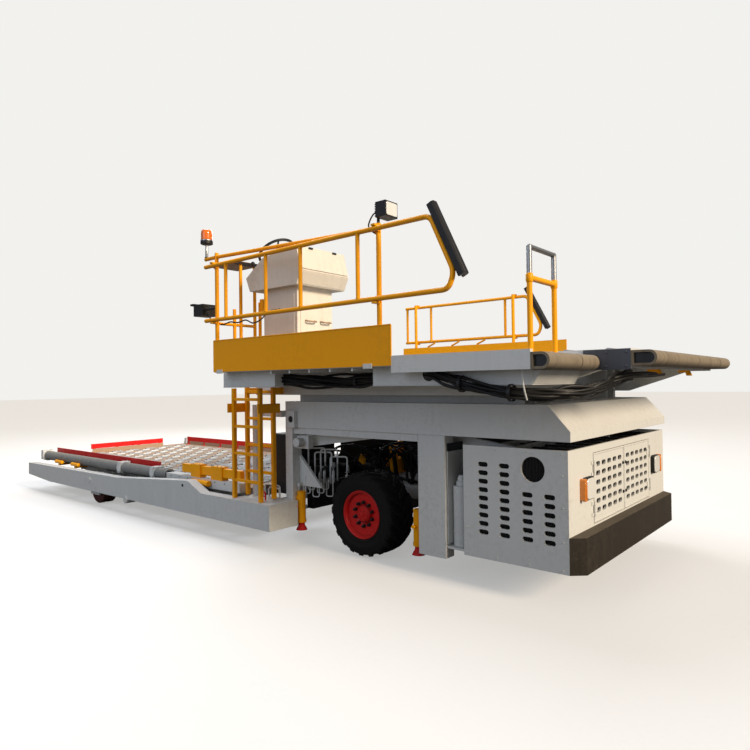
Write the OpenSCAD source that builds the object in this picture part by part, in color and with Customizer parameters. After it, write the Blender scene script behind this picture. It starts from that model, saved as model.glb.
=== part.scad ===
// Aircraft cargo loader: a low rear frame with a scissor-lifted main platform,
// a portal over the steered wheels, and a scissor-lifted bridge with the
// operator's platform on its right side. Millimetres, +X forward, +Z up.
// Side pieces are drawn with +Y pointing outward from the lane's middle plane.

/* [Overall] */
// Offset of the cargo lane's middle plane from the part's middle
lane_y = 250; // [200:10:300]
// Rear end of the low side frames
rear_x = -4975; // [-5100:5:-4800]
// Half width over the side frames' bosses
frame_half = 1650; // [1600:10:1700]

/* [Side frames] */
// Thickness of a side frame beam
beam_t = 120; // [80:5:140]
// Underside of the side frames
beam_bottom = 215; // [205:5:230]
// Top of the side frames
beam_top = 480; // [470:5:485]
// Front end of the side frames
beam_front_x = 1325; // [1310:5:1400]
// Rise of the underside at the tapered rear end
beam_rise = 50; // [20:5:80]
// Length of the tapered rear end
beam_taper = 840; // [500:10:1000]
// Height of the wedge plate above the beam
wedge_h = 120; // [80:5:140]
// Peak of the wedge plate along the vehicle
wedge_x = -175; // [-300:5:-100]
// Length of the wedge plate behind its peak
wedge_run = 1715; // [1200:5:1800]
// Proud height of the round bosses
boss_h = 10; // [6:1:14]
// Thickness of the step plate at the frame's front corner
step_t = 10; // [8:1:20]
// Rear edge of the step plate
step_x = 640; // [620:5:700]

/* [Main lift] */
// Length of a main lift arm between its end pivots
lift_len = 4600; // [4500:10:4650]
// Angle of the main lift arms at rest
lift_rest = 1.9; // [1.8:0.05:2.1]
// Front pivot of the main lift along the vehicle
lift_x = 400; // [380:5:420]
// Height of the main lift's lower pivots
lift_z = 235; // [232:1:242]
// Depth of a main lift arm
lift_arm_h = 110; // [90:2:112]
// Radius of the lift pins
pin_r = 25; // [20:1:30]
// Radius of the lift rollers
roller_r = 45; // [40:1:48]

/* [Bridge lift] */
// Length of a bridge lift arm between its end pivots
span_len = 2500; // [2450:10:2520]
// Angle of the bridge lift arms at rest
span_rest = 8; // [7.5:0.1:8.3]
// Rear pivot of the bridge lift along the vehicle
span_x = 1350; // [1340:5:1380]
// Height of the bridge lift's lower pivots
span_z = 1100; // [1085:5:1110]
// Radius of the bridge lift's pivot shaft
shaft_r = 45; // [35:1:50]

/* [Lift arms] */
// Thickness of a lift arm plate
arm_t = 50; // [40:2:52]
// Inner face of the outer arms, from the lane's middle
arm_a_y = 1000; // [995:1:1004]
// Inner face of the inner arms, from the lane's middle
arm_b_y = 920; // [915:1:922]
// Width of a lift roller
roller_w = 42; // [36:1:44]
// Radius of the cross tubes of the lift arms
cross_r = 35; // [25:1:40]
// Distance of the cross tubes from the arm ends
cross_in = 160; // [150:5:220]

/* [Main platform] */
// Front edge of the main platform
deck_front_x = 570; // [540:5:575]
// Gap from the frame's rear end to the platform's rear edge
deck_rear_gap = 45; // [30:5:80]
// Top of the platform's rollers
deck_top = 560; // [555:1:570]
// Height of the rollers above the deck plate
roller_proud = 20; // [12:1:24]
// Thickness of the deck plate
deck_t = 40; // [30:1:42]
// Deck's edge from the outer face of the side frame
deck_inset = 350; // [340:5:365]
// Radius of a deck roller
deck_roller_r = 30; // [26:1:32]
// Number of roller rows on the platform
deck_rows = 17; // [10:1:19]
// Rollers in a row
row_rollers = 7; // [4:1:8]
// Width of a roller slot across the deck
slot_w = 90; // [80:1:100]
// Radius of the side bumper tubes
tube_r = 75; // [60:1:78]
// Height of the red guide bars
guide_h = 85; // [70:5:100]
// Gap under the red guide bars
guide_lift = 65; // [50:5:80]
// Thickness of the guide bars
guide_t = 12; // [8:1:16]

/* [Portal] */
// Half width of the portal and the engine box
portal_half = 1250; // [1240:2:1260]
// Thickness of the portal's side beams
portal_t = 130; // [110:2:132]
// Underside of the portal's side beams
portal_z = 1260; // [1240:5:1280]
// Top of the portal's side beams
portal_top = 1540; // [1520:5:1550]
// Rear face of the rear posts
post_x = 1145; // [1130:5:1160]
// Length of a rear post along the vehicle
post_l = 110; // [90:5:120]
// Rear face of the front posts
front_post_x = 2933; // [2920:1:2950]
// Length of a front post along the vehicle
front_post_l = 288; // [240:2:300]
// Underside of the posts
post_z = 190; // [170:5:220]
// Front end of the hood
hood_x = 4352; // [4340:2:4370]
// Length of the hood's sloped front
hood_slope = 177; // [150:1:200]
// Top edge of the hood's upright front lip
hood_lip_z = 1339; // [1320:1:1360]
// Thickness of the hood sheet
hood_t = 12; // [8:1:16]

/* [Engine box] */
// Rear face of the engine box
box_x = 3408; // [3390:2:3420]
// Front face of the engine box
box_front_x = 4330; // [4320:1:4335]
// Underside of the engine box
box_z = 260; // [240:5:280]
// Top of the engine box
box_top = 1193; // [1180:1:1200]
// Wall of the engine box
box_wall = 20; // [12:1:24]
// Width of one engine door
door_w = 745; // [720:5:750]
// Underside of the engine doors
door_z = 560; // [555:1:600]
// Height of the engine doors
door_h = 570; // [540:5:580]
// Gap round the doors
door_gap = 5; // [4:1:8]
// Length of a louvre slot
louvre_l = 92; // [70:2:96]
// Height of a louvre slot
louvre_h = 40; // [30:1:44]

/* [Wheels] */
// Front wheel position along the vehicle
wheel_x = 2165; // [2150:5:2180]
// Front tyre outer radius
tyre_r = 420; // [400:2:440]
// Front tyre width
tyre_w = 390; // [370:5:390]
// Front wheel middle plane from the lane's middle
wheel_y = 1005; // [1005:1:1012]
// Rim radius
rim_r = 240; // [220:2:260]
// Depth of the tread lugs
lug_h = 22; // [14:1:28]
// Lugs on each side of a front tyre
lug_count = 18; // [12:2:22]
// Kingpin distance from the lane's middle
kingpin_y = 735; // [725:1:738]
// Radius of the kingpins
kingpin_r = 35; // [28:1:40]
// Radius of the wheel spindles
spindle_r = 45; // [35:1:50]
// Rear wheels' middle in front of the main lift's roller end
rear_axle_ahead = 1400; // [1350:10:1500]
// Rear wheel radius
rear_wheel_r = 200; // [180:2:205]
// Width of one rear wheel of a pair
rear_wheel_w = 90; // [70:2:95]
// Radius of the rear axle pins
rear_pin_r = 30; // [25:1:35]

/* [Bridge] */
// Rear edge of the bridge
bridge_x = 640; // [630:2:660]
// Front edge of the bridge
bridge_front_x = 4800; // [4780:5:4810]
// Top of the bridge's rollers
bridge_top = 1970; // [1960:2:1980]
// Underside of the bridge's side beams
bridge_z = 1610; // [1600:5:1640]
// Underside of the bridge's raised nose
nose_z = 1810; // [1790:5:1830]
// Thickness of the bridge's side beams
bridge_t = 70; // [50:2:80]
// Number of roller rows on the bridge
bridge_rows = 12; // [6:1:14]
// Depth of the rubber bumpers
bumper_d = 175; // [140:1:175]
// Height of the rubber bumpers
bumper_h = 110; // [90:2:120]
// Rubber wall of the bumpers
bumper_wall = 18; // [12:1:24]

/* [Operator platform] */
// Outer plane of the operator's platform
op_y = -1900; // [-1900:1:-1890]
// Rear edge of the operator's floor
op_x = 1060; // [1055:5:1080]
// Front edge of the walkway
op_front_x = 4455; // [4440:5:4465]
// Underside of the floor
floor_z = 1850; // [1845:1:1855]
// Thickness of the floor
floor_t = 40; // [30:2:44]
// Height of the yellow toe board
toe_h = 310; // [250:5:320]
// Thickness of the toe boards
toe_t = 10; // [6:1:12]
// Front end of the toe board
toe_front_x = 3325; // [3300:5:3340]
// Handrail tube radius
rail_r = 20; // [16:1:22]
// Height of the sliding rail's top tube
loop_top = 2910; // [2880:5:2920]
// Height of the sliding rail's bottom tube
loop_low = 2370; // [2340:5:2380]
// Rear end of the sliding rail
loop_x = 965; // [950:5:975]
// Front bend of the sliding rail's top tube
loop_front_x = 3710; // [3690:5:3720]
// Far rail's height
far_top = 2810; // [2790:5:2820]
// Far rail's bottom tube
far_low = 2310; // [2290:5:2320]

/* [Ladders] */
// Spacing of the ladder rails
ladder_w = 450; // [430:5:450]
// Middle of the rear ladder rail
ladder_x = 645; // [640:1:650]
// Side of a square ladder rail
ladder_s = 40; // [30:1:40]
// Rung pitch
rung_pitch = 295; // [280:5:300]
// Plane of the fixed ladder
ladder_a_y = -1300; // [-1310:2:-1300]
// Plane of the ladder that rises with the bridge
ladder_b_y = -1130; // [-1140:2:-1130]

/* [Fits] */
// Radial running clearance of the pins
run_fit = 0.05; // [0.02:0.01:0.1]
// Gap between a roller and its track
track_gap = 0.3; // [0.2:0.1:0.5]
// Clear gap between moving pieces
move_gap = 6; // [5:1:8]
// Fit-up gap between pieces that are bolted together
lay = 0.3; // [0.2:0.1:0.5]

/* [Hidden] */
$fn = 48;

white = [0.86, 0.86, 0.84];
yellow = [0.90, 0.62, 0.05];
red = [0.70, 0.08, 0.08];
dark = [0.10, 0.10, 0.11];
rubber = [0.14, 0.13, 0.12];
steel = [0.62, 0.63, 0.64];

beam_out = frame_half - boss_h;
deck_half = frame_half - deck_inset;
rear_wheel_x = lift_x - lift_len + rear_axle_ahead;
beam_in = beam_out - beam_t;
right_frame_y = lane_y - beam_in;
portal_in = portal_half - portal_t;
lane_right = lane_y - portal_half;
lane_left = lane_y + portal_half;
deck_rear_x = rear_x + deck_rear_gap;
deck_plate_top = deck_top - roller_proud;
deck_low = deck_plate_top - deck_t;
bridge_plate_top = bridge_top - roller_proud;
lift_top_z = lift_z + lift_len * sin(lift_rest);
lift_end_x = lift_x - lift_len * cos(lift_rest);
span_top_z = span_z + span_len * sin(span_rest);
span_end_x = span_x + span_len * cos(span_rest);
arm_a_out = arm_a_y + arm_t;
arm_b_out = arm_b_y + arm_t;
track_in = arm_b_y - roller_w - 10;
track_out = arm_a_out + roller_w + 10;
lug_t = 18;
seat = 5;
floor_top = floor_z + floor_t;
toe_z = floor_z + 5;
toe_top = toe_z + toe_h;
toe_y = op_y + 2 * rail_r;
loop_y = op_y + rail_r;
rear_post_x = op_x + 25;
rim_disc = tyre_w / 2 - 105;
rail_rear_top = 3045;
main_post_x = toe_front_x - 130;
op_low = floor_z - 150;
far_y = 1600;
far_post_y = far_y + rail_r;
far_rail_y = far_post_y + 2 * rail_r + 11;
far_x = 790;
far_front_x = 3250;

module block(xr, yr, zr)
    translate([xr[0], yr[0], zr[0]]) cube([xr[1] - xr[0], yr[1] - yr[0], zr[1] - zr[0]]);
module rod_x(y, z, xr, r) translate([xr[0], y, z]) rotate([0, 90, 0]) cylinder(h = xr[1] - xr[0], r = r);
module rod_y(x, z, yr, r) translate([x, yr[0], z]) rotate([-90, 0, 0]) cylinder(h = yr[1] - yr[0], r = r);
module rod_z(x, y, zr, r) translate([x, y, zr[0]]) cylinder(h = zr[1] - zr[0], r = r);
// Side outline in X and Z, extruded across the Y range
module plate_xz(points, yr)
    translate([0, yr[1], 0]) rotate([90, 0, 0]) linear_extrude(yr[1] - yr[0]) polygon(points);
// Plan outline in X and Y, extruded over the Z range
module plate_xy(points, zr) translate([0, 0, zr[0]]) linear_extrude(zr[1] - zr[0]) polygon(points);
// Straight tube in a plane of constant Y between two points in X and Z
module tube_xz(p, q, y, r) {
    d = q - p;
    translate([p[0], y, p[1]]) rotate([0, 90 - atan2(d[1], d[0]), 0]) cylinder(h = norm(d), r = r);
}
module on_side(side) translate([0, lane_y, 0]) mirror([0, side > 0 ? 0 : 1, 0]) children();
module both_sides() for (side = [-1, 1]) on_side(side) children();

// Low side frame: box beam with a tapered rear end, a wedge plate on top and round bosses,
// the front corner that reaches the portal's post, and the yoke of the rear wheels
module side_frame() {
    wedge_front = wedge_x + 285;
    outline = [[rear_x, beam_bottom + beam_rise], [rear_x + beam_taper, beam_bottom],
        [beam_front_x, beam_bottom], [beam_front_x, beam_top], [wedge_front, beam_top],
        [wedge_x, beam_top + wedge_h], [wedge_x - wedge_run, beam_top], [rear_x, beam_top - 24]];
    boss_x = rear_wheel_x + 90;
    lug_x = rear_wheel_x + 1155;
    lug_r = 50;
    yoke_half = 130;
    yoke_t = 26;
    yoke_in = beam_in - 2 * rear_wheel_w - 110;
    yoke_top = 2 * rear_wheel_r + 28;
    yoke_low = rear_wheel_r - 65;
    plate_xz(outline, [beam_in, beam_out]);
    rod_y(boss_x, beam_bottom + 160, [beam_out, frame_half], 35);
    rod_y(lug_x, beam_bottom - 7, [beam_in, frame_half], lug_r);
    block([post_x, beam_front_x], [portal_half, beam_in - lay], [beam_bottom, beam_top]);
    block([step_x, post_x - lay], [portal_half, beam_in - lay], [beam_top - step_t, beam_top]);
    difference() {
        block([rear_wheel_x - yoke_half, rear_wheel_x + yoke_half], [yoke_in, beam_in - lay],
            [yoke_low, yoke_top + yoke_t]);
        block([rear_wheel_x - yoke_half - 1, rear_wheel_x + yoke_half + 1],
            [yoke_in + yoke_t, beam_in - yoke_t], [yoke_low - 1, yoke_top]);
    }
    rod_y(rear_wheel_x, rear_wheel_r, [yoke_in, beam_in - lay], rear_pin_r);
}
// Upright tube beside the ladders with its tie to the portal, on the right side only
module guide_post() {
    post_r = 40;
    y = portal_half + 50;
    x = ladder_x + 55;
    top = portal_top - 40;
    rod_z(x, y, [beam_top + lay, top], post_r);
    block([x, post_x], [y - 12, y + 12], [top - 130, top - 60]);
    block([post_x - 12, post_x], [portal_half - 60, y + 12], [top - 130, top - 60]);
}
module side_frame_r() color(white) on_side(-1) {
    side_frame();
    guide_post();
}
module side_frame_l() color(white) on_side(1) side_frame();

// Low cross members and base rails that carry the main lift
module belly_frame() color(white) {
    low = beam_bottom - 85;
    plate_t = 20;
    top = low + 44;
    bed = low + plate_t + lay;
    riser_out = beam_in - 230;
    riser_t = 40;
    cross_w = 120;
    rail_rear = lift_end_x - 130;
    track_front = lift_x - lift_len * cos(lift_rest + 40) + 120;
    cross_x = [lift_x, lift_x - 1900, lift_end_x + 620, lift_end_x - 60];
    for (x = cross_x)
        block([x - cross_w / 2, x + cross_w / 2], [lane_y - riser_out, lane_y + riser_out], [low, low + plate_t]);
    both_sides() {
        for (x = cross_x) {
            block([x - cross_w / 2, x + cross_w / 2], [riser_out - riser_t, riser_out], [bed, beam_bottom + 85]);
            block([x - cross_w / 2, x + cross_w / 2], [riser_out - seat, beam_in], [beam_bottom + 35, beam_bottom + 85]);
        }
        block([rail_rear, lift_x + cross_w / 2], [track_in, arm_b_y + 4], [bed, top]);
        block([rail_rear, track_front], [track_in, arm_b_y - 4], [bed, lift_z - roller_r - track_gap]);
        for (y = [arm_a_y - lug_t - 3, arm_a_out + 3])
            block([lift_x - 60, lift_x + 60], [y, y + lug_t], [bed, lift_z + 60]);
        rod_y(lift_x, lift_z, [arm_a_y - lug_t - 3, arm_a_out + 3 + lug_t], pin_r);
    }
}

// Portal: side beams that run on into the hood's sides, each with a lens box at its rear
module gantry_beam() {
    outline = [[post_x, portal_z], [hood_x, portal_z], [hood_x, hood_lip_z],
        [hood_x - hood_slope, portal_top], [post_x, portal_top]];
    lens_x = post_x + 130;
    lens_z = portal_z + 90;
    strip_h = 70;
    plate_xz(outline, [portal_in, portal_half]);
    block([post_x + post_l, front_post_x], [portal_in, portal_half - 20], [portal_z - strip_h, portal_z]);
    difference() {
        block([lens_x - 60, lens_x + 60], [portal_half, portal_half + 45], [lens_z - 90, lens_z + 90]);
        rod_y(lens_x, lens_z, [portal_half + 25, portal_half + 46], 36);
    }
}
module gantry_beam_r() color(white) on_side(-1) gantry_beam();
module gantry_beam_l() color(white) on_side(1) gantry_beam();
// Four posts under the portal's beams; the rear ones carry the bridge lift's shaft
module gantry_posts() color(white) both_sides() {
    lug_x = span_x + 90;
    block([post_x, post_x + post_l], [portal_in, portal_half], [post_z, portal_z]);
    block([post_x + post_l, lug_x], [portal_in, portal_half - 60], [span_z - 70, span_z + 70]);
    rod_y(span_x, span_z, [arm_a_y - 30, portal_half - 20], shaft_r);
    block([front_post_x, front_post_x + front_post_l], [portal_in, portal_half], [post_z, portal_z]);
}

// Longitudinal rails, cross members and the roller tracks of the bridge lift
module front_rails() color(white) {
    rail_y = 350;
    rail_w = 80;
    low = 480;
    top = 620;
    track_top = span_z - roller_r - track_gap;
    track_rear = span_x + span_len * cos(span_rest + 40) - 120;
    for (x = [[post_x, post_x + post_l], [front_post_x, front_post_x + front_post_l]])
        block(x, [lane_y - portal_in, lane_y + portal_in], [low, top]);
    lengths = [[post_x + post_l + lay, front_post_x - lay],
        [front_post_x + front_post_l + lay, box_front_x - 120]];
    both_sides() {
        for (xr = lengths) block(xr, [rail_y, rail_y + rail_w], [low, top]);
        block([track_rear, span_end_x + 90], [track_in, arm_b_y - 4], [track_top - 60, track_top]);
        block([front_post_x, front_post_x + front_post_l], [track_in, portal_in], [track_top - 60, track_top - 20]);
    }
}
// Beam axle under the rails with a bored boss for each kingpin
module front_axle() color(dark) {
    half_h = 55;
    boss_r = kingpin_r + 25;
    beam_half = 60;
    z = tyre_r;
    difference() {
        union() {
            block([wheel_x - beam_half, wheel_x + beam_half], [lane_y - kingpin_y, lane_y + kingpin_y],
                [z - half_h, z + half_h - 10]);
            both_sides() {
                rod_z(wheel_x, kingpin_y, [z - 75, z + 75], boss_r);
                block([wheel_x - beam_half, wheel_x + beam_half], [350, 430], [z, 480]);
            }
        }
        both_sides() rod_z(wheel_x, kingpin_y, [z - 80, z + 80], kingpin_r + run_fit);
    }
}

// Bent front sheet between the portal's side beams
module hood() color(white) {
    top_l = 210;
    x_in = hood_x - hood_slope;
    outline = [[hood_x - hood_t, portal_z], [hood_x, portal_z], [hood_x, hood_lip_z], [x_in, portal_top],
        [x_in - top_l, portal_top], [x_in - top_l, portal_top - hood_t], [x_in - hood_t / 2, portal_top - hood_t],
        [hood_x - hood_t, hood_lip_z - hood_t / 2]];
    plate_xz(outline, [lane_y - portal_in, lane_y + portal_in]);
}

// Round-ended slot in the plane of a panel
module louvre() {
    square([louvre_l - louvre_h, louvre_h], center = true);
    for (s = [-1, 1]) translate([s * (louvre_l - louvre_h) / 2, 0]) circle(d = louvre_h);
}
// Side panels with four columns of slots below and beside a round port
module engine_sides() color(white) both_sides() {
    pitch = 70;
    // Column position along the panel, number of slots
    columns = [[190, 9], [385, 9], [585, 6], [770, 6]];
    port_r = 100;
    translate([box_x, portal_half, box_z]) rotate([90, 0, 0]) linear_extrude(box_wall) difference() {
        square([box_front_x - box_wall - box_x, box_top - box_z]);
        for (c = columns, i = [0:c[1] - 1])
            translate([c[0], 220 + i * pitch]) louvre();
        translate([635, box_top - box_z - 160]) circle(r = port_r);
    }
}
// Front frame round the doors, floor pan and rear stays of the engine box
module engine_front() color(white) {
    opening = door_w + door_gap;
    x_in = box_front_x - box_wall;
    difference() {
        block([x_in, box_front_x], [lane_right, lane_left], [box_z, box_top]);
        block([x_in - 1, box_front_x + 1], [lane_y - opening, lane_y + opening],
            [door_z - door_gap, door_z + door_h + door_gap]);
    }
    both_sides() hinge_knuckles();
    block([front_post_x + front_post_l, x_in - lay], [lane_right + box_wall, lane_left - box_wall],
        [box_z + 20, box_z + 20 + box_wall]);
}
module engine_block() color(steel) {
    low = box_z + 20 + box_wall;
    block([box_x + 60, box_front_x - 160], [lane_y - 330, lane_y + 330], [low, low + 660]);
}
// Door hinges: fixed knuckles and pins on the frame, barrels on the door
hinge_r = 10;
hinge_pin_r = 5;
hinge_h = 60;
hinge_x = box_front_x + hinge_r;
hinge_y = door_w + door_gap / 2;
hinge_z = [door_z + 90, door_z + door_h - 150];
module hinge_knuckles() for (z = hinge_z) {
    for (zr = [[z - 30, z - track_gap], [z + hinge_h + track_gap, z + hinge_h + 30]]) {
        rod_z(hinge_x, hinge_y, zr, hinge_r);
        block([box_front_x - 1, box_front_x + 5], [hinge_y, hinge_y + 45], zr);
    }
    rod_z(hinge_x, hinge_y, [z - 25, z + hinge_h + 25], hinge_pin_r);
}
// Hinged slotted door with a barrel at each hinge
module engine_door() {
    pitch_y = 132;
    pitch_z = 76;
    x_in = box_front_x - box_wall;
    translate([x_in, 0, door_z]) rotate([90, 0, 90]) linear_extrude(box_wall) difference() {
        translate([door_gap / 2, 0]) square([door_w - door_gap / 2, door_h]);
        for (i = [0:4], j = [0:5])
            translate([108 + i * pitch_y, 95 + j * pitch_z]) louvre();
    }
    difference() {
        for (z = hinge_z) {
            rod_z(hinge_x, hinge_y, [z, z + hinge_h], hinge_r);
            block([box_front_x - 1, box_front_x + 5], [hinge_y - 70, hinge_y], [z, z + hinge_h]);
        }
        rod_z(hinge_x, hinge_y, [door_z, door_z + door_h], hinge_pin_r + run_fit);
    }
}
module engine_door_r() color(white) on_side(-1) engine_door();
module engine_door_l() color(white) on_side(1) engine_door();

// Dark front bumper with chamfered ends
module front_bumper() color(rubber) {
    depth = 100;
    cut = 90;
    top = 540;
    plate_xy([[box_front_x, lane_right], [box_front_x + depth, lane_right + cut],
        [box_front_x + depth, lane_left - cut], [box_front_x, lane_left]], [box_z, top]);
}
// Corner lamp units on the engine box's front
module headlamps() color([0.9, 0.45, 0.1]) both_sides()
    block([box_front_x, box_front_x + 45], [door_w + 60, door_w + 285], [780, 960]);

// Yellow jack tubes on the posts, hollow for the sliding feet
jack_r = 45;
jack_leg_r = 34;
jack_rear_x = post_x + post_l + jack_r + 12;
jack_front_x = front_post_x - jack_r - 12;
jack_y = portal_half - 70;
jack_low = 235;
jack_top = 560;
jack_foot_z = 155;
module jack_sleeves() color(yellow) both_sides() {
    // Jack position, face of the post that carries it
    seats = [[jack_rear_x, post_x + post_l], [jack_front_x, front_post_x]];
    for (s = seats) difference() {
        union() {
            rod_z(s[0], jack_y, [jack_low, jack_top], jack_r);
            block([min(s[0], s[1]), max(s[0], s[1])], [jack_y - 25, jack_y + 25], [jack_low + 30, jack_top - 40]);
        }
        rod_z(s[0], jack_y, [jack_low - 1, jack_top - 20], jack_leg_r + 0.3);
    }
}
module jack_feet(x) both_sides() {
    rod_z(x, jack_y, [jack_foot_z + 25, jack_top - 26], jack_leg_r);
    translate([x, jack_y, jack_foot_z]) cylinder(h = 25, r1 = 62, r2 = 48);
}
module jack_feet_rear() color(red) jack_feet(jack_rear_x);
module jack_feet_front() color(red) jack_feet(jack_front_x);

// Telescopic ladder: rails and rungs in a plane of constant Y
module ladder_frame(y, zr, rungs) {
    half = ladder_s / 2;
    for (x = [ladder_x, ladder_x + ladder_w])
        block([x - half, x + half], [y - half, y + half], zr);
    for (z = rungs)
        block([ladder_x + half, ladder_x + ladder_w - half], [y - half + 4, y + half - 4], [z - 14, z + 14]);
}
module ladder_lower() color(yellow) {
    top = op_low - 2 * move_gap;
    band_t = 18;
    half = ladder_s / 2;
    ladder_frame(ladder_a_y - 10, [beam_top, top], [for (i = [0:3]) beam_top + 200 + i * rung_pitch]);
    for (s = [-1, 1]) {
        face = s < 0 ? ladder_x - half : ladder_x + ladder_w + half;
        outer = face + s * (band_t + move_gap);
        block([min(face + s * move_gap, outer), max(face + s * move_gap, outer)],
            [ladder_a_y - 70, ladder_b_y + 60], [1420, 1520]);
        block([min(face + s * lay, face + s * move_gap), max(face + s * lay, face + s * move_gap)],
            [ladder_a_y - 10 - half, ladder_a_y - 10 + half], [1420, 1520]);
    }
}
module ladder_upper() color(yellow) {
    half = ladder_s / 2;
    ladder_frame(ladder_b_y, [beam_top + 2 * move_gap, op_low], [for (i = [0:3]) beam_top + 280 + i * rung_pitch]);
    for (x = [ladder_x + half, ladder_x + ladder_w + half])
        block([x - ladder_s, x], [ladder_b_y + half + lay, lane_right], [op_low - 80, op_low - 10]);
}

// Valve block, pump and pipes on the cross member inside the wheel bay
module hydraulics() color(dark) {
    z0 = 620;
    x0 = post_x + 10;
    x1 = post_x + post_l - 10;
    block([x0, x1], [lane_y - 1000, lane_y - 420], [z0, z0 + 250]);
    block([x0, x1], [lane_y - 300, lane_y + 300], [z0, z0 + 170]);
    block([x0, x1], [lane_y + 420, lane_y + 1000], [z0, z0 + 330]);
    // Tank behind the rear post, against the cross beam
    block([post_x - 430, post_x - lay], [lane_y - 1100, lane_y - 490], [z0 - 130, z0 + 540]);
    // Motors and pumps on the blocks: place across, height, length forward, radius
    for (m = [[-880, 130, 190, 62], [-700, 130, 150, 48], [-540, 130, 170, 55], [-150, 85, 220, 60],
        [120, 85, 170, 52], [560, 180, 200, 70], [800, 180, 160, 60]])
        rod_x(lane_y + m[0], z0 + m[1], [x1 - 5, x1 + m[2]], m[3]);
}
// Upright round tanks between the front posts and the engine box
module reservoirs() color(white) both_sides() {
    z0 = box_z + 20 + box_wall;
    x = (front_post_x + front_post_l + box_x) / 2;
    rod_z(x, portal_half - 130, [z0, z0 + 520], 78);
    rod_z(x, portal_half - 130, [z0 + 520, z0 + 560], 52);
}

// Knuckle: kingpin with two ears round the axle's boss, and the wheel spindle
module knuckle() {
    z = tyre_r;
    ear_t = 30;
    half = 60;
    web_in = kingpin_y + kingpin_r + 25 + move_gap;
    rod_z(wheel_x, kingpin_y, [z - 75 - move_gap - ear_t, z + 75 + move_gap + ear_t], kingpin_r);
    for (zr = [[z - 75 - move_gap - ear_t, z - 75 - move_gap], [z + 75 + move_gap, z + 75 + move_gap + ear_t]])
        block([wheel_x - half, wheel_x + half], [kingpin_y - half, web_in + 26], zr);
    block([wheel_x - half, wheel_x + half], [web_in, web_in + 26],
        [z - 75 - move_gap - ear_t, z + 75 + move_gap + ear_t]);
    rod_y(wheel_x, z, [web_in + 26, wheel_y + rim_disc + 15], spindle_r);
}
module knuckle_r() color(dark) on_side(-1) knuckle();
module knuckle_l() color(dark) on_side(1) knuckle();

// Lug tyre and dished rim, both drawn about the wheel's own axis along +Y
module tyre_body() {
    half = tyre_w / 2;
    base = tyre_r - lug_h;
    rotate([-90, 0, 0]) rotate_extrude($fn = 96) polygon([[rim_r, -half + 30], [rim_r + 50, -half + 4],
        [base - 40, -half], [base, -half + 26], [base, half - 26], [base - 40, half],
        [rim_r + 50, half - 4], [rim_r, half - 30]]);
    intersection() {
        for (s = [-1, 1], i = [0:lug_count - 1])
            rotate([0, i * 360 / lug_count + (s > 0 ? 0 : 180 / lug_count), 0])
                translate([0, s * (half / 2 - 4), -tyre_r + lug_h / 2 - 4]) rotate([0, 0, s * 24])
                    cube([46, half * 0.94, lug_h + 12], center = true);
        rod_y(0, 0, [-half + 6, half - 6], tyre_r, $fn = 96);
    }
}
module rim_body() {
    half = tyre_w / 2;
    well = rim_r - 18;
    disc = rim_disc;
    cap_r = 62;
    difference() {
        rotate([-90, 0, 0]) rotate_extrude($fn = 96) polygon([[0, disc - 70], [95, disc - 70], [95, disc],
            [well, disc - 14], [well, -half + 34], [rim_r, -half + 34], [rim_r, half - 34],
            [well - 8, half - 34], [well - 22, disc + 34], [120, disc + 26], [cap_r + 22, disc + 6],
            [cap_r + 22, disc + 40], [cap_r, disc + 60], [0, disc + 60]]);
        rod_y(0, 0, [disc - 71, disc + 19], spindle_r + run_fit);
    }
}
module wheel_place() translate([wheel_x, wheel_y, tyre_r]) children();
module front_tyre_r() color(rubber) on_side(-1) wheel_place() tyre_body();
module front_tyre_l() color(rubber) on_side(1) wheel_place() tyre_body();
module front_rim_r() color(red) on_side(-1) wheel_place() rim_body();
module front_rim_l() color(red) on_side(1) wheel_place() rim_body();

// Twin solid rear wheels on one hub, between the plates of their yoke
module rear_wheels() {
    yoke_in = beam_in - 2 * rear_wheel_w - 110;
    mid = (yoke_in + beam_in) / 2;
    gap = 20;
    w = rear_wheel_w;
    hub_r = rear_pin_r + 40;
    translate([rear_wheel_x, mid, rear_wheel_r]) difference() {
        rotate([-90, 0, 0]) rotate_extrude($fn = 72) polygon([[0, -w - gap / 2], [rear_wheel_r - 12, -w - gap / 2],
            [rear_wheel_r, -w - gap / 2 + 12], [rear_wheel_r, -gap / 2 - 12], [rear_wheel_r - 12, -gap / 2],
            [hub_r, -gap / 2], [hub_r, gap / 2], [rear_wheel_r - 12, gap / 2], [rear_wheel_r, gap / 2 + 12],
            [rear_wheel_r, w + gap / 2 - 12], [rear_wheel_r - 12, w + gap / 2], [0, w + gap / 2]]);
        rod_y(0, 0, [-w - gap, w + gap], rear_pin_r + run_fit);
    }
}
module rear_wheels_r() color([0.30, 0.10, 0.08]) on_side(-1) rear_wheels();
module rear_wheels_l() color([0.30, 0.10, 0.08]) on_side(1) rear_wheels();

// Lift arm plate from its pivot along -X or +X, with round ends
module arm_plate(len, h, dir, yr) {
    block([min(0, dir * len), max(0, dir * len)], yr, [-h / 2, h / 2]);
    for (x = [0, dir * len]) rod_y(x, 0, yr, h / 2);
}
// Outer pair: pivots on the chassis at its low end, rollers under the deck at its high end
module outer_arms(len, h, dir, bore) {
    yr = [arm_a_y, arm_a_out];
    both_arms() difference() {
        union() {
            arm_plate(len, h, dir, yr);
            rod_y(dir * len, 0, [arm_a_out, arm_a_out + 3 + roller_w], roller_r);
            rod_y(dir * len / 2, 0, [arm_b_y - 5, arm_a_out], pin_r);
        }
        rod_y(0, 0, [arm_a_y - 1, arm_a_out + 1], bore);
    }
    for (s = [cross_in, len - cross_in])
        rod_y(dir * s, 0, [-arm_a_y + lay, arm_a_y - lay], cross_r);
}
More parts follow.
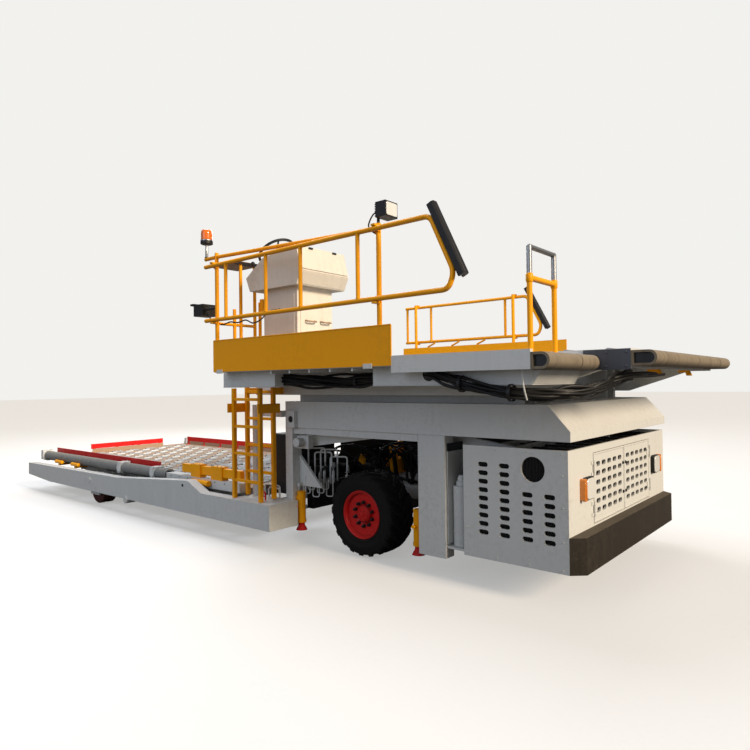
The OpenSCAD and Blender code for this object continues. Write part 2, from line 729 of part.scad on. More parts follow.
// Inner pair: bored at its middle and its high end, rollers at its low end
module inner_arms(len, h, dir) {
    yr = [arm_b_y, arm_b_out];
    both_arms() difference() {
        union() {
            arm_plate(len, h, dir, yr);
            rod_y(dir * len, 0, [arm_b_y - 3 - roller_w, arm_b_y], roller_r);
        }
        for (x = [0, dir * len / 2]) rod_y(x, 0, [arm_b_y - 1, arm_b_out + 1], pin_r + run_fit);
    }
    for (s = [cross_in, len - cross_in])
        rod_y(dir * s, 0, [-arm_b_y + lay, arm_b_y - lay], cross_r);
}
module both_arms() for (side = [0, 1]) mirror([0, side, 0]) children();
module lift_arms_outer() color(white)
    translate([lift_x, lane_y, lift_z]) rotate([0, lift_rest, 0]) outer_arms(lift_len, lift_arm_h, -1, pin_r + run_fit);
module lift_arms_inner() color(white)
    translate([lift_x, lane_y, lift_top_z]) rotate([0, -lift_rest, 0]) inner_arms(lift_len, lift_arm_h, -1);
module bridge_arms_outer() color(white)
    translate([span_x, lane_y, span_z]) rotate([0, -span_rest, 0]) outer_arms(span_len, lift_arm_h, 1, shaft_r + run_fit);
module bridge_arms_inner() color(white)
    translate([span_x, lane_y, span_top_z]) rotate([0, span_rest, 0]) inner_arms(span_len, lift_arm_h, 1);

// Roller slots and rows share these places along a deck
function row_x(x0, x1, n, i) = x0 + (i + 0.5) * (x1 - x0) / n;
row_half = deck_half - 180;
module slotted_plate(xr, half, zr, x0, x1, rows) difference() {
    block(xr, [-half, half], zr);
    for (i = [0:rows - 1]) {
        x = row_x(x0, x1, rows, i);
        block([x - slot_w / 2, x + slot_w / 2], [-row_half, row_half], [zr[0] - 1, zr[1] + 1]);
    }
}
module roller_row(x, top, n) {
    z = top - deck_roller_r;
    pitch = 2 * row_half / n;
    rod_y(x, z, [-row_half, row_half], 10);
    for (i = [0:n - 1])
        rod_y(x, z, [-row_half + (i + 0.22) * pitch, -row_half + (i + 0.78) * pitch], deck_roller_r);
}
// Pair of lugs with a pin under a deck, for the inner arms' high ends
module deck_lugs(x, z, top) both_arms() {
    for (y = [arm_b_y - 3 - lug_t, arm_b_out + 3])
        block([x - 55, x + 55], [y, y + lug_t], [z - 48, top]);
    rod_y(x, z, [arm_b_y - 3 - lug_t, arm_b_out + 3 + lug_t], pin_r);
}

deck_rows_x0 = deck_rear_x + 250;
deck_rows_x1 = deck_front_x - 40;
// Slotted deck plate
tube_y = deck_half + tube_r + 2;
tube_z = 564;
tube_front_x = -985;
wing_out = tube_y + 65;
clamp_x = [deck_rear_x + 60, -2200, -1300];
module platform_plate() color([0.72, 0.60, 0.45]) translate([0, lane_y, 0])
    slotted_plate([deck_rear_x, deck_front_x], deck_half, [deck_low, deck_plate_top],
        deck_rows_x0, deck_rows_x1, deck_rows);
// Ribs under the plate, side boxes at the front, clamps for the bumper tubes, lugs of the lift
module platform_deck() color(white) translate([0, lane_y, 0]) {
    rib_z = lift_top_z + roller_r + track_gap;
    both_arms() {
        block([deck_rear_x, deck_front_x], [arm_a_out + 3, track_out + 10], [rib_z, deck_low - lay]);
        block([deck_rear_x, deck_front_x], [arm_b_y - 75, arm_b_y - 55], [rib_z, deck_low - lay]);
        block([tube_front_x + 25, deck_front_x], [deck_half, wing_out], [deck_low, beam_top + 125]);
        for (x = clamp_x) difference() {
            block([x - 40, x + 40], [deck_half, tube_y + tube_r + 12], [deck_low, tube_z + tube_r + 12]);
            rod_x(tube_y, tube_z, [x - 41, x + 41], tube_r + track_gap);
        }
    }
    deck_lugs(lift_x, lift_top_z, deck_low - lay);
}
module platform_rollers() color(steel) translate([0, lane_y, 0])
    for (i = [0:deck_rows - 1])
        roller_row(row_x(deck_rows_x0, deck_rows_x1, deck_rows, i), deck_top, row_rollers);
// Red guide bars on short feet along both sides, and the stop bar across the rear
module platform_guides() color(red) translate([0, lane_y, 0]) {
    z0 = deck_plate_top + guide_lift;
    z1 = z0 + guide_h;
    y1 = deck_half - 30;
    x0 = deck_rear_x + 190;
    x1 = -1400;
    stop_half = 700;
    stop_x = deck_rear_x + 205;
    foot = 60;
    both_arms() {
        block([x0, x1], [y1 - guide_t, y1], [z0, z1]);
        for (x = [x0 + 60:(x1 - x0 - 120) / 6:x1 - 60]) {
            block([x - 20, x + 20], [y1 - guide_t - seat, y1 - seat], [deck_plate_top, z0 + seat]);
            block([x - 20, x + 20], [y1 - foot, y1 - guide_t], [deck_plate_top, deck_plate_top + guide_t]);
        }
    }
    block([stop_x, stop_x + guide_t], [-stop_half, stop_half], [z0 + 10, z1 + 10]);
    for (y = [-stop_half + 60:(2 * stop_half - 120) / 3:stop_half - 60])
        block([stop_x - foot / 2, stop_x + guide_t], [y - 20, y + 20], [deck_plate_top, z0 + 20]);
}
// Hollow rubber bumper tubes along both sides
module platform_tubes() color(rubber) translate([0, lane_y, 0]) both_arms() difference() {
    rod_x(tube_y, tube_z, [deck_rear_x, tube_front_x], tube_r);
    rod_x(tube_y, tube_z, [deck_rear_x - 1, tube_front_x + 1], tube_r - 20);
}
// Yellow square bar in two clamps, and the round drive motors beside the deck
module platform_drives() color(yellow) translate([0, lane_y, 0]) mirror([0, 1, 0]) {
    bar_y = deck_half + 90;
    z0 = beam_top + 125;
    bar_h = 100;
    motor_r = (beam_in - wing_out) / 2 - move_gap;
    motor_y = beam_in - motor_r - move_gap;
    motor_z = deck_low + 60;
    block([-630, deck_front_x - 10], [bar_y - 30, bar_y + 30], [z0 + 40, z0 + 40 + bar_h]);
    // Clamps of the bar: middle along the vehicle, half length
    for (c = [[-310, 100], [120, 110]])
        block([c[0] - c[1], c[0] + c[1]], [bar_y - 48, bar_y + 48], [z0, z0 + 58 + bar_h]);
    rod_x(motor_y, motor_z, [-300, 30], motor_r);
    block([-180, -120], [wing_out, motor_y], [motor_z - 20, motor_z + 20]);
    for (x = [-4150, -3560]) {
        rod_x(motor_y, deck_low + 12, [x - 110, x + 110], 0.8 * motor_r);
        block([x - 30, x + 30], [deck_half, motor_y], [deck_low - 44, deck_low - 14]);
        block([x - 30, x + 30], [deck_half, deck_half + 20], [deck_low - 44, deck_low + 10]);
    }
}

// Bridge: slotted lane on two deep side beams and two roller tracks
nose_x0 = 4000;
nose_x1 = bridge_front_x - 200;
lane_low = bridge_plate_top - deck_t;
module bridge_plate() color(white) translate([0, lane_y, 0])
    slotted_plate([bridge_x, bridge_front_x], portal_half, [lane_low, bridge_plate_top],
        bridge_x + 120, bridge_front_x - 60, bridge_rows);
module bridge_frame() color(white) translate([0, lane_y, 0]) {
    side = [[bridge_x, bridge_z], [nose_x0, bridge_z], [nose_x1, nose_z], [bridge_front_x, nose_z],
        [bridge_front_x, lane_low], [bridge_x, lane_low]];
    rib_z = span_top_z + roller_r + track_gap;
    rib_front = span_end_x + roller_r + 20;
    inside = portal_half - bridge_t - lay;
    both_arms() {
        plate_xz(side, [portal_half - bridge_t, portal_half]);
        block([span_x - 120, rib_front], [arm_a_out + 3, portal_in - 12], [rib_z, lane_low]);
        block([span_x - 120, rib_front], [arm_b_y - 75, arm_b_y - 55], [rib_z, lane_low]);
    }
    block([bridge_front_x - 20, bridge_front_x], [-inside, inside], [nose_z, lane_low]);
    block([far_x, far_front_x], [portal_half, far_post_y + rail_r - lane_y], [lane_low, bridge_plate_top]);
    deck_lugs(span_x, span_top_z, lane_low);
}
module bridge_rollers() color(steel) translate([0, lane_y, 0])
    for (i = [0:bridge_rows - 1])
        roller_row(row_x(bridge_x + 120, bridge_front_x - 60, bridge_rows, i), bridge_top, row_rollers);
// Hollow rubber bumpers across the nose and the walkway's front edge
module bumper(x, yr, z, d) {
    r = bumper_h / 2;
    translate([x, yr[1], z]) rotate([90, 0, 0]) linear_extrude(yr[1] - yr[0]) difference() {
        union() {
            translate([0, -r]) square([d - r, bumper_h]);
            translate([d - r, 0]) circle(r = r);
        }
        translate([bumper_wall, -r + bumper_wall]) square([d - r - bumper_wall, bumper_h - 2 * bumper_wall]);
        translate([d - r, 0]) circle(r = r - bumper_wall);
    }
}
module bridge_bumpers() color(rubber) {
    z = (nose_z + bridge_plate_top) / 2;
    split = lane_y + 0.66 * portal_half;
    walk_z = floor_z - 10 + bumper_h / 2 - 40;
    walk_split = -1330;
    bumper(bridge_front_x, [lane_right, split], z, bumper_d);
    bumper(bridge_front_x, [split + 10, lane_left], z, bumper_d);
    bumper(op_front_x, [toe_y, walk_split], walk_z, 130);
    bumper(op_front_x, [walk_split + 10, lane_right - 10], walk_z, 130);
}

// Operator's floor with its edge beam and the two outriggers that carry it
module operator_floor() color(white) {
    edge_h = 90;
    wall = 15;
    rig_y = -1700;
    block([op_x, op_front_x], [toe_y + toe_t, lane_right], [floor_z, floor_top]);
    block([toe_front_x, op_front_x], [toe_y, toe_y + toe_t + 30], [floor_top - edge_h, floor_top + 40]);
    for (x = [[op_x - 60, op_x + 740], [3010, op_front_x - 60]]) difference() {
        block(x, [rig_y, lane_right], [op_low, floor_z - lay]);
        block([x[0] + wall, x[1] - wall], [rig_y + wall, lane_right - wall], [op_low + wall, floor_z - wall]);
    }
    block([op_front_x - 30, op_front_x], [toe_y + toe_t + 30, lane_right], [floor_top - edge_h, floor_z]);
}
// Yellow toe boards along the operator's side and along the far side
module toe_boards() color(yellow) {
    block([op_x, toe_front_x], [toe_y, toe_y + toe_t], [toe_z, toe_top]);
    block([far_x, far_front_x], [far_y - toe_t, far_y], [bridge_plate_top, bridge_plate_top + 275]);
}
// Height of the small tray on the rear uprights
tray_z = 2975;
// Fixed guard rails: near posts with hooks for the sliding rail, rear rail, and the far posts
module rail_hook(x, y, top, low) translate([x, y, 0]) {
    near = rail_r * 1.03 + lay;
    far = rail_r + 16;
    for (z = [[low, -1], [top, 1]]) translate([0, 0, z[0]]) mirror([0, 0, z[1] > 0 ? 0 : 1]) {
        block([-20, 20], [near, far], [-rail_r, rail_r + 16]);
        block([-20, 20], [-rail_r, far], [near, rail_r + 16]);
    }
}
module guard_rails() color(yellow) {
    post_y = toe_y + toe_t + rail_r;
    rear_top = rail_rear_top;
    main_top = 2960;
    rod_z(rear_post_x, post_y, [floor_top, rear_top], rail_r);
    rod_z(main_post_x, post_y, [floor_top, main_top], rail_r);
    fall = (rear_top - main_top) / (main_post_x - rear_post_x);
    x0 = rear_post_x + rail_r + lay + fall * rail_r;
    x1 = main_post_x - rail_r - lay - fall * rail_r;
    tube_xz([x0, rear_top - 2 * rail_r - fall * rail_r], [x1, main_top - 2 * rail_r + fall * rail_r], post_y, rail_r - 2);
    // Short arm behind the rear post that carries the beacon
    rod_x(post_y, rear_top - 2 * rail_r, [rear_post_x - 190, rear_post_x - rail_r - lay], rail_r - 2);
    rod_y(rear_post_x, 2340, [post_y + rail_r + lay, -1360], rail_r - 5);
    // Rear uprights beside the ladder: place across, top
    for (p = [[-1620, 2500], [-1540, tray_z], [-1360, tray_z], [-1290, 2600]])
        rod_z(rear_post_x, p[0], [floor_top, p[1]], rail_r - 3);
    for (x = [rear_post_x, main_post_x]) rail_hook(x, loop_y, loop_top, loop_low);
    for (x = [1000, 2540]) {
        rod_z(x, far_post_y, [bridge_plate_top, far_top + 30], rail_r);
        translate([0, 2 * far_rail_y, 0]) mirror([0, 1, 0]) rail_hook(x, far_rail_y, far_top, far_low);
    }
}

// Front gate of the walkway: yellow posts and bar, with a plain tube hoop on top
gate_x = op_front_x - 25;
gate_y = [toe_y + toe_t + 30 + rail_r, -1425];
gate_bar_z = 2390;
gate_r = rail_r - 2;
module front_gate() color(yellow) {
    for (y = gate_y) rod_z(gate_x, y, [floor_top, gate_bar_z + rail_r], gate_r);
    rod_y(gate_x, gate_bar_z, gate_y, rail_r);
}
module gate_hoop() color(steel) {
    hoop_z = 2610;
    for (y = gate_y) rod_z(gate_x, y, [gate_bar_z + rail_r, hoop_z - gate_r], gate_r);
    rod_y(gate_x, hoop_z - gate_r, gate_y, gate_r - 1);
    for (y = gate_y) translate([gate_x, y, hoop_z - gate_r]) sphere(r = gate_r);
}

// Control console: column and a wedge-shaped head
console_x = op_x + 350;
console_y = -1500;
console_w = 470;
console_head = 2660;
console_slope = [[console_x - 170, console_head + 140], [console_x + 90, console_head + 310]];
module console() color([0.88, 0.83, 0.74]) {
    x0 = console_x;
    y0 = console_y;
    col = 490;
    head_z = console_head;
    wall = 15;
    head = [[x0 - 110, head_z], [x0 + col + 90, head_z], [x0 + col + 150, head_z + 130],
        [x0 + col + 90, head_z + 370], console_slope[1], console_slope[0]];
    inner = [[x0 - 100, head_z + wall], [x0 + col + 75, head_z + wall], [x0 + col + 132, head_z + 130],
        [x0 + col + 78, head_z + 350], [x0 + 95, head_z + 292], [x0 - 148, head_z + 138]];
    difference() {
        block([x0, x0 + col], [y0, y0 + console_w], [floor_top, head_z + seat]);
        block([x0 + wall, x0 + col - wall], [y0 + wall, y0 + console_w - wall], [floor_top + wall, head_z - wall]);
    }
    difference() {
        plate_xz(head, [y0 - 90, y0 + 560]);
        plate_xz(inner, [y0 - 90 + wall, y0 + 560 - wall]);
    }
}
module steering_wheel() color(dark) {
    ring_r = 190;
    rise = 200;
    mid = 0.2 * console_slope[0] + 0.8 * console_slope[1];
    d = console_slope[1] - console_slope[0];
    translate([mid[0], console_y + console_w / 2, mid[1]]) rotate([0, -atan2(d[1], d[0]), 0]) {
        translate([0, 0, rise]) rotate_extrude($fn = 64) translate([ring_r, 0]) circle(r = 14, $fn = 24);
        for (a = [90, 210, 330]) translate([0, 0, rise]) rotate([0, 0, a]) rod_x(0, 0, [20, ring_r], 9);
        translate([0, 0, track_gap]) cylinder(h = rise + 14, r = 24);
    }
}

// Work lamps on the main post and at the rear corner, and the dark tray on the rear uprights
module work_lamps() color(dark) {
    post_y = toe_y + toe_t + rail_r;
    block([main_post_x - 5, main_post_x + 95], [post_y - 30, post_y + 120], [3000, 3120]);
    rod_z(main_post_x, post_y, [2960, 3000], 12);
    block([rear_post_x - 400, rear_post_x - 240], [post_y - 10, post_y + 160], [2440, 2560]);
    rod_x(post_y + 20, 2500, [rear_post_x - 241, rear_post_x - rail_r], 14);
    block([rear_post_x - 330, rear_post_x + 50], [-1690, -1330], [tray_z, tray_z + 16]);
}
// Amber beacon on a short pole at the end of its arm
module beacon() color([0.95, 0.45, 0.05]) {
    post_y = toe_y + toe_t + rail_r;
    x = rear_post_x - 170;
    rod_z(x, post_y, [rail_rear_top - rail_r - 2 + lay, 3160], 14);
    rod_z(x, post_y, [3160, 3200], 62);
    rod_z(x, post_y, [3200, 3310], 58);
}

// Hose bundles clamped under the operator's floor, swept along hand-set points
hose_r = 45;
// Points along each bundle: rear run between the outriggers, front run below the nose
hose_rear = [[op_x + 740.3, -1500, 1770], [1900, -1500, 1770], [2100, -1480, 1750], [2400, -1465, 1742],
    [2650, -1475, 1746], [2880, -1500, 1770], [3009.7, -1500, 1770]];
hose_front = [[3560, -1746, 1796], [3640, -1746, 1786], [3750, -1746, 1748], [3880, -1746, 1712], [4050, -1742, 1678],
    [4250, -1715, 1648], [4420, -1600, 1632], [4540, -1470, 1640], [4610, -1330, 1650], [4660, -1200, 1680],
    [4690, -1080, 1720], [4705, -960, 1750], [4712, -840, 1762], [4715, -720, 1764]];
function unit(v) = v / norm(v);
module sweep(path, r, sides) {
    n = len(path);
    rings = [for (i = [0:n - 1])
        let (t = unit(path[min(i + 1, n - 1)] - path[max(i - 1, 0)]),
            u = unit(cross([0, 0, 1], t)),
            v = cross(t, u))
        for (k = [0:sides - 1])
            path[i] + r * (cos(k * 360 / sides) * u + sin(k * 360 / sides) * v)];
    faces = concat([[for (k = [0:sides - 1]) k]],
        [for (i = [0:n - 2], k = [0:sides - 1])
            [i * sides + k, (i + 1) * sides + k, (i + 1) * sides + (k + 1) % sides, i * sides + (k + 1) % sides]],
        [[for (k = [sides - 1:-1:0]) (n - 1) * sides + k]]);
    polyhedron(rings, faces, convexity = 6);
}
module hose_bundles() color(dark) {
    sweep(hose_rear, hose_r, 10);
    sweep(hose_front, hose_r, 10);
}

// Sliding guard rail: a loop that runs through the hooks on the posts
module rail_loop(y, x0, x1, top, low, posts) {
    nose = 200;
    rod_x(y, top, [x0, x1], rail_r);
    rod_x(y, low, [x0, x1 + 160], rail_r);
    tube_xz([x1, top], [x1 + nose, low + 120], y, rail_r);
    tube_xz([x1 + nose, low + 120], [x1 + 160, low], y, rail_r);
    for (p = [[x1, top], [x1 + nose, low + 120], [x1 + 160, low]])
        translate([p[0], y, p[1]]) sphere(r = rail_r * 1.03);
    for (x = posts) rod_z(x, y, [low, top], rail_r - 3);
}
// Flat rubber pad in front of a sliding rail's nose
module rail_pad(y, x1, top, low) {
    run = 200;
    drop = top - low - 120;
    a = atan2(drop, run);
    translate([x1 + run / 2, y, (top + low + 120) / 2]) rotate([0, a - 90, 0])
        translate([rail_r * 1.03 + lay, -rail_r, -290]) cube([60, 70, 600]);
}
module rail_loop_r() color(yellow)
    rail_loop(loop_y, loop_x, loop_front_x, loop_top, loop_low, [1300, 1900, 2360, 3020]);
module rail_pad_r() color(dark) rail_pad(loop_y, loop_front_x, loop_top, loop_low);
module rail_loop_l() color(yellow)
    rail_loop(far_rail_y, far_x, 2700, far_top, far_low, [far_x + 20, 1230, 2400]);
module rail_pad_l() color(dark) rail_pad(far_rail_y, 2700, far_top, far_low);

side_frame_r();
side_frame_l();
belly_frame();
gantry_beam_r();
gantry_beam_l();
gantry_posts();
front_rails();
front_axle();
hood();
engine_sides();
engine_front();
engine_block();
front_bumper();
headlamps();
jack_sleeves();
ladder_lower();
hydraulics();
reservoirs();
jack_feet_rear();
jack_feet_front();
knuckle_r();
knuckle_l();
front_tyre_r();
front_tyre_l();
front_rim_r();
front_rim_l();
rear_wheels_r();
rear_wheels_l();
lift_arms_outer();
lift_arms_inner();
platform_plate();
platform_deck();
platform_rollers();
platform_guides();
platform_tubes();
platform_drives();
bridge_arms_outer();
bridge_arms_inner();
bridge_plate();
bridge_frame();
bridge_rollers();
bridge_bumpers();
operator_floor();
toe_boards();
guard_rails();
front_gate();
gate_hoop();
console();
steering_wheel();
work_lamps();
beacon();
ladder_upper();
hose_bundles();
rail_loop_r();
rail_loop_l();
rail_pad_r();
rail_pad_l();
engine_door_r();
engine_door_l();
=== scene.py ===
import math
import bmesh
import bpy
from mathutils import Matrix, Vector


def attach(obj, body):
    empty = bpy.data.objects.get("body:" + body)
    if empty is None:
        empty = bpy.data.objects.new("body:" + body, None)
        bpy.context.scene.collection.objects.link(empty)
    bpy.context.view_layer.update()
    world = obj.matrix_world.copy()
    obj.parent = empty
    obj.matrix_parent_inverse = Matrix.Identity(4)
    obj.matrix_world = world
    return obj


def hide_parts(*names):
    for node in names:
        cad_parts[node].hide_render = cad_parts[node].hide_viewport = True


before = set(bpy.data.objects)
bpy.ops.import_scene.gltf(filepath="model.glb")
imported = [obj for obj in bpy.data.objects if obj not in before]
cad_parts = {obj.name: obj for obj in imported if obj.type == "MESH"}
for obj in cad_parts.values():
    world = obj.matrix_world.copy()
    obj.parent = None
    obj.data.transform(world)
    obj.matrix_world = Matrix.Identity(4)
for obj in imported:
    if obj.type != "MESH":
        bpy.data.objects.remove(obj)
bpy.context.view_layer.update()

# Side frames, belly frame and portal: boxes of folded steel plate, welded and sprayed white.
# Weld beads run along the joints, gussets stiffen the rear posts, and the engine box's panels
# and the frames' end plates are bolted on.
def lin(code):
    parts = [int(code[i:i + 2], 16) / 255 for i in (1, 3, 5)]
    return tuple(c / 12.92 if c <= 0.04045 else ((c + 0.055) / 1.055) ** 2.4 for c in parts) + (1.0,)


def add(tree, kind, links=(), **values):
    node = tree.nodes.new("ShaderNode" + kind)
    for key, value in values.items():
        if key in ("operation", "samples"):
            setattr(node, key, value)
        else:
            node.inputs[int(key[1:]) if key[1:].isdigit() else key.replace("_", " ")].default_value = value
    for out, key in links:
        tree.links.new(out, node.inputs[key])
    return node


# Every finish has blotches, grime, rain streaks, dust on faces that look up, painted shade on faces
# that look down, and chips along edges, which are found from rounded normals.
def finish_material(name, base, worn, dust, rough=0.4, metal=0.0, dusty=0.35, streaky=0.3, chip=0.0,
                    grain_mm=0.5, relief=0.06, coat=0.0, edge_mm=3.0, shine=0.4):
    mat = bpy.data.materials.new(name)
    mat.use_nodes = True
    tree = mat.node_tree
    bsdf = tree.nodes["Principled BSDF"]
    place = add(tree, "TexCoord").outputs["Object"]
    # Scale counts marks to the metre: blotches are 625 mm across, grime spots 42 mm, and
    # rain streaks stand 71 mm apart and run 1.1 m down.
    blotch = add(tree, "TexNoise", [(place, "Vector")], Scale=1.6, Detail=9.0, Roughness=0.62).outputs["Fac"]
    grime = add(tree, "TexNoise", [(place, "Vector")], Scale=24.0, Detail=7.0, Roughness=0.7).outputs["Fac"]
    # The paint's own grain is too fine to show, so it is drawn six times as coarse.
    fine = add(tree, "TexNoise", [(place, "Vector")], Scale=1000.0 / (grain_mm * 6), Detail=3.0).outputs["Fac"]
    tall = add(tree, "Mapping", [(place, "Vector")], Scale=(14.0, 14.0, 0.9)).outputs["Vector"]
    streak = add(tree, "TexNoise", [(tall, "Vector")], Scale=1.0, Detail=6.0, Roughness=0.6).outputs["Fac"]
    round_n = add(tree, "Bevel", samples=4, Radius=edge_mm / 1000).outputs["Normal"]
    flat_n = add(tree, "NewGeometry").outputs["Normal"]
    up = add(tree, "SeparateXYZ", [(flat_n, "Vector")]).outputs["Z"]
    edge = add(tree, "VectorMath", [(round_n, 0), (flat_n, 1)], operation="DOT_PRODUCT").outputs["Value"]
    edge = add(tree, "MapRange", [(edge, "Value")], From_Min=0.995, From_Max=0.90, To_Min=0.0, To_Max=1.0).outputs[0]
    blot = add(tree, "MapRange", [(blotch, "Value")], From_Min=0.42, From_Max=0.72).outputs[0]
    grim = add(tree, "MapRange", [(grime, "Value")], From_Min=0.46, From_Max=0.78).outputs[0]
    strk = add(tree, "MapRange", [(streak, "Value")], From_Min=0.50, From_Max=0.74).outputs[0]
    wear = add(tree, "Math", [(blot, 0), (grim, 1)], operation="MULTIPLY").outputs[0]
    wear = add(tree, "Math", [(strk, 0), (wear, 2)], operation="MULTIPLY_ADD", i1=streaky).outputs[0]
    wear = add(tree, "Math", [(wear, 0)], operation="MINIMUM", i1=1.0).outputs[0]
    soft = add(tree, "Math", [(wear, 0)], operation="MULTIPLY", i1=0.75).outputs[0]
    tone = add(tree, "MixRGB", [(soft, "Fac")], Color1=lin(base), Color2=lin(worn)).outputs[0]
    lie = add(tree, "MapRange", [(up, "Value")], From_Min=0.35, From_Max=0.95).outputs[0]
    lie = add(tree, "Math", [(lie, 0), (blotch, 1)], operation="MULTIPLY").outputs[0]
    lie = add(tree, "Math", [(lie, 0)], operation="MULTIPLY", i1=dusty * 1.8).outputs[0]
    tone = add(tree, "MixRGB", [(lie, "Fac"), (tone, "Color1")], Color2=lin(dust)).outputs[0]
    nick = add(tree, "Math", [(edge, 0), (grim, 1)], operation="MULTIPLY").outputs[0]
    nick = add(tree, "Math", [(nick, 0)], operation="MULTIPLY", i1=chip).outputs[0]
    tone = add(tree, "MixRGB", [(nick, "Fac"), (tone, "Color1")], Color2=lin("#5b534b")).outputs[0]
    # Painted shade: faces that look down are darkened towards #35322e, as if they lay in shadow.
    underside_shade = add(tree, "MapRange", [(up, "Value")], From_Min=-0.2, From_Max=-0.9, To_Min=0.0, To_Max=0.55).outputs[0]
    tone = add(tree, "MixRGB", [(underside_shade, "Fac"), (tone, "Color1")], Color2=lin("#35322e")).outputs[0]
    tree.links.new(tone, bsdf.inputs["Base Color"])
    gloss = add(tree, "Math", [(wear, 0)], operation="MULTIPLY_ADD", i1=0.30, i2=rough).outputs[0]
    gloss = add(tree, "Math", [(lie, 0), (gloss, 1)], operation="ADD").outputs[0]
    tree.links.new(gloss, bsdf.inputs["Roughness"])
    lump = add(tree, "Math", [(grime, 0), (fine, 1)], operation="ADD").outputs[0]
    tree.links.new(add(tree, "Bump", [(lump, "Height"), (round_n, "Normal")], Strength=relief,
                       Distance=grain_mm / 1000).outputs[0], bsdf.inputs["Normal"])
    bsdf.inputs["Metallic"].default_value = metal
    bsdf.inputs["Coat Weight"].default_value = coat
    bsdf.inputs["Specular IOR Level"].default_value = shine
    return mat


def dress(mat, *nodes):
    for node in nodes:
        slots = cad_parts[node].data.materials
        slots.clear()
        slots.append(mat)


def loft(bm, rings, closed=False):
    made = [[bm.verts.new(p) for p in ring] for ring in rings]
    pairs = list(zip(made, made[1:])) + ([(made[-1], made[0])] if closed else [])
    for a, b in pairs:
        for k in range(len(a)):
            bm.faces.new((a[k], a[(k + 1) % len(a)], b[(k + 1) % len(b)], b[k]))
    if not closed:
        bm.faces.new(made[0][::-1])
        bm.faces.new(made[-1])


def spin(bm, at, axis, profile, sides=24, closed=False):
    axis = Vector(axis).normalized()
    u = axis.orthogonal().normalized()
    w = axis.cross(u)
    turn = [2 * math.pi * k / sides for k in range(sides)]
    loft(bm, [[Vector(at) + axis * d + r * (math.cos(q) * u + math.sin(q) * w) for q in turn] for d, r in profile],
         closed)


def bolt(bm, at, axis, size):
    at, axis = Vector(at), Vector(axis)
    spin(bm, at, axis, [(0, size * 1.2), (size * 0.2, size * 1.2)], 14)
    spin(bm, at + axis * size * 0.2, axis, [(0, size * 0.9), (size * 0.5, size * 0.9), (size * 0.65, size * 0.7)], 6)


def prism(bm, outline, at, u, v, length):
    u, v = Vector(u), Vector(v)
    low = [Vector(at) + u * a + v * b for a, b in outline]
    loft(bm, [low, [p + u.cross(v) * length for p in low]])


def pipe(bm, path, r, sides=10, ripple=0.0):
    side = None
    rings = []
    for i, p in enumerate(path):
        ahead = (path[min(i + 1, len(path) - 1)] - path[max(i - 1, 0)]).normalized()
        side = ahead.orthogonal() if side is None else side - ahead * side.dot(ahead)
        side.normalize()
        up = ahead.cross(side)
        size = r * (1 + ripple * math.sin(i * 2.4))
        rings.append([p + size * (math.cos(q) * side + math.sin(q) * up)
                      for q in (2 * math.pi * k / sides for k in range(sides))])
    loft(bm, rings)


def bead(bm, a, b, r=0.005):
    a, b = Vector(a), Vector(b)
    n = max(4, int((b - a).length / 0.012))
    pipe(bm, [a.lerp(b, k / n) for k in range(n + 1)], r, 6, 0.22)


def piece(name, bm, body, mat, replaces=(), smooth=38, bevel_mm=0.0):
    mesh = bpy.data.meshes.new(name)
    bmesh.ops.recalc_face_normals(bm, faces=bm.faces[:])
    bm.to_mesh(mesh)
    bm.free()
    mesh.shade_smooth()
    mesh.set_sharp_from_angle(angle=math.radians(smooth))
    mesh.materials.append(mat)
    obj = bpy.data.objects.new(name, mesh)
    bpy.context.scene.collection.objects.link(obj)
    if bevel_mm:
        edge = obj.modifiers.new("edge", "BEVEL")
        edge.width = bevel_mm / 1000
        edge.segments = 2
        edge.limit_method = "ANGLE"
    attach(obj, body)
    if replaces:
        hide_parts(*replaces)
    return obj


# Two-pack paint sprayed on plate: an even soft gloss, greyed by rain and chipped at the edges.
white = finish_material("weathered_white_paint", "#d6d7d4", "#a39d92", "#a89a83", 0.36, dusty=0.25, streaky=0.15,
                        chip=0.5)
# Zinc-plated and bare steel: bright metal, dulled by a film of dirt.
steel = finish_material("worn_bare_steel", "#a5a6a7", "#6a6763", "#a0937d", 0.36, metal=0.9, dusty=0.25, streaky=0.2)
dress(white, "side_frame_r", "side_frame_l", "belly_frame", "gantry_beam_r", "gantry_beam_l", "gantry_posts",
      "front_rails")

# The lane's centre line lies left of the part's own, because the operator's platform is on the right.
MID = 0.25
bm = bmesh.new()
for s in (-1, 1):
    out = MID + s * 1.25
    for x in (2.933, 3.221):
        bead(bm, (x, out + s * 0.001, 1.26), (x, out + s * 0.001, 1.21))
    bead(bm, (2.933, out, 1.258), (3.221, out, 1.258))
    bead(bm, (1.145, out, 1.258), (1.255, out, 1.258))
    bead(bm, (1.325, MID + s * 1.252, 0.48), (1.325, MID + s * 1.252, 0.215), 0.004)
    bead(bm, (0.11, MID + s * 1.52, 0.482), (1.32, MID + s * 1.52, 0.482), 0.004)
    spin(bm, (-1.645, MID + s * 1.65, 0.208), (0, s, 0), [(0, 0.036), (0.004, 0.034), (0.004, 0.02), (0.001, 0.018)],
         28)
    spin(bm, (-2.71, MID + s * 1.65, 0.375), (0, s, 0), [(0, 0.022), (0.003, 0.02)], 24)
    prism(bm, [(0, 0), (0.34, 0), (0, 0.33)], (1.256, MID + s * 1.135, 0.622), (1, 0, 0), (0, 0, 1), 0.014)
    bead(bm, (1.262, MID + s * 1.13, 0.95), (1.59, MID + s * 1.13, 0.63), 0.004)
    spin(bm, (1.35, MID + s * 1.236, 1.10), (0, s, 0), [(0, 0.05), (0.05, 0.05), (0.054, 0.044)], 32)
    for xs, zs in (((3.44, 3.72, 4.0, 4.28), (0.285, 1.168)), ((3.44, 4.285), (0.5, 0.76, 1.0))):
        for x in xs:
            for z in zs:
                bolt(bm, (x, out, z), (0, s, 0), 0.006)
piece("weld_seams_and_gussets", bm, "chassis", white)

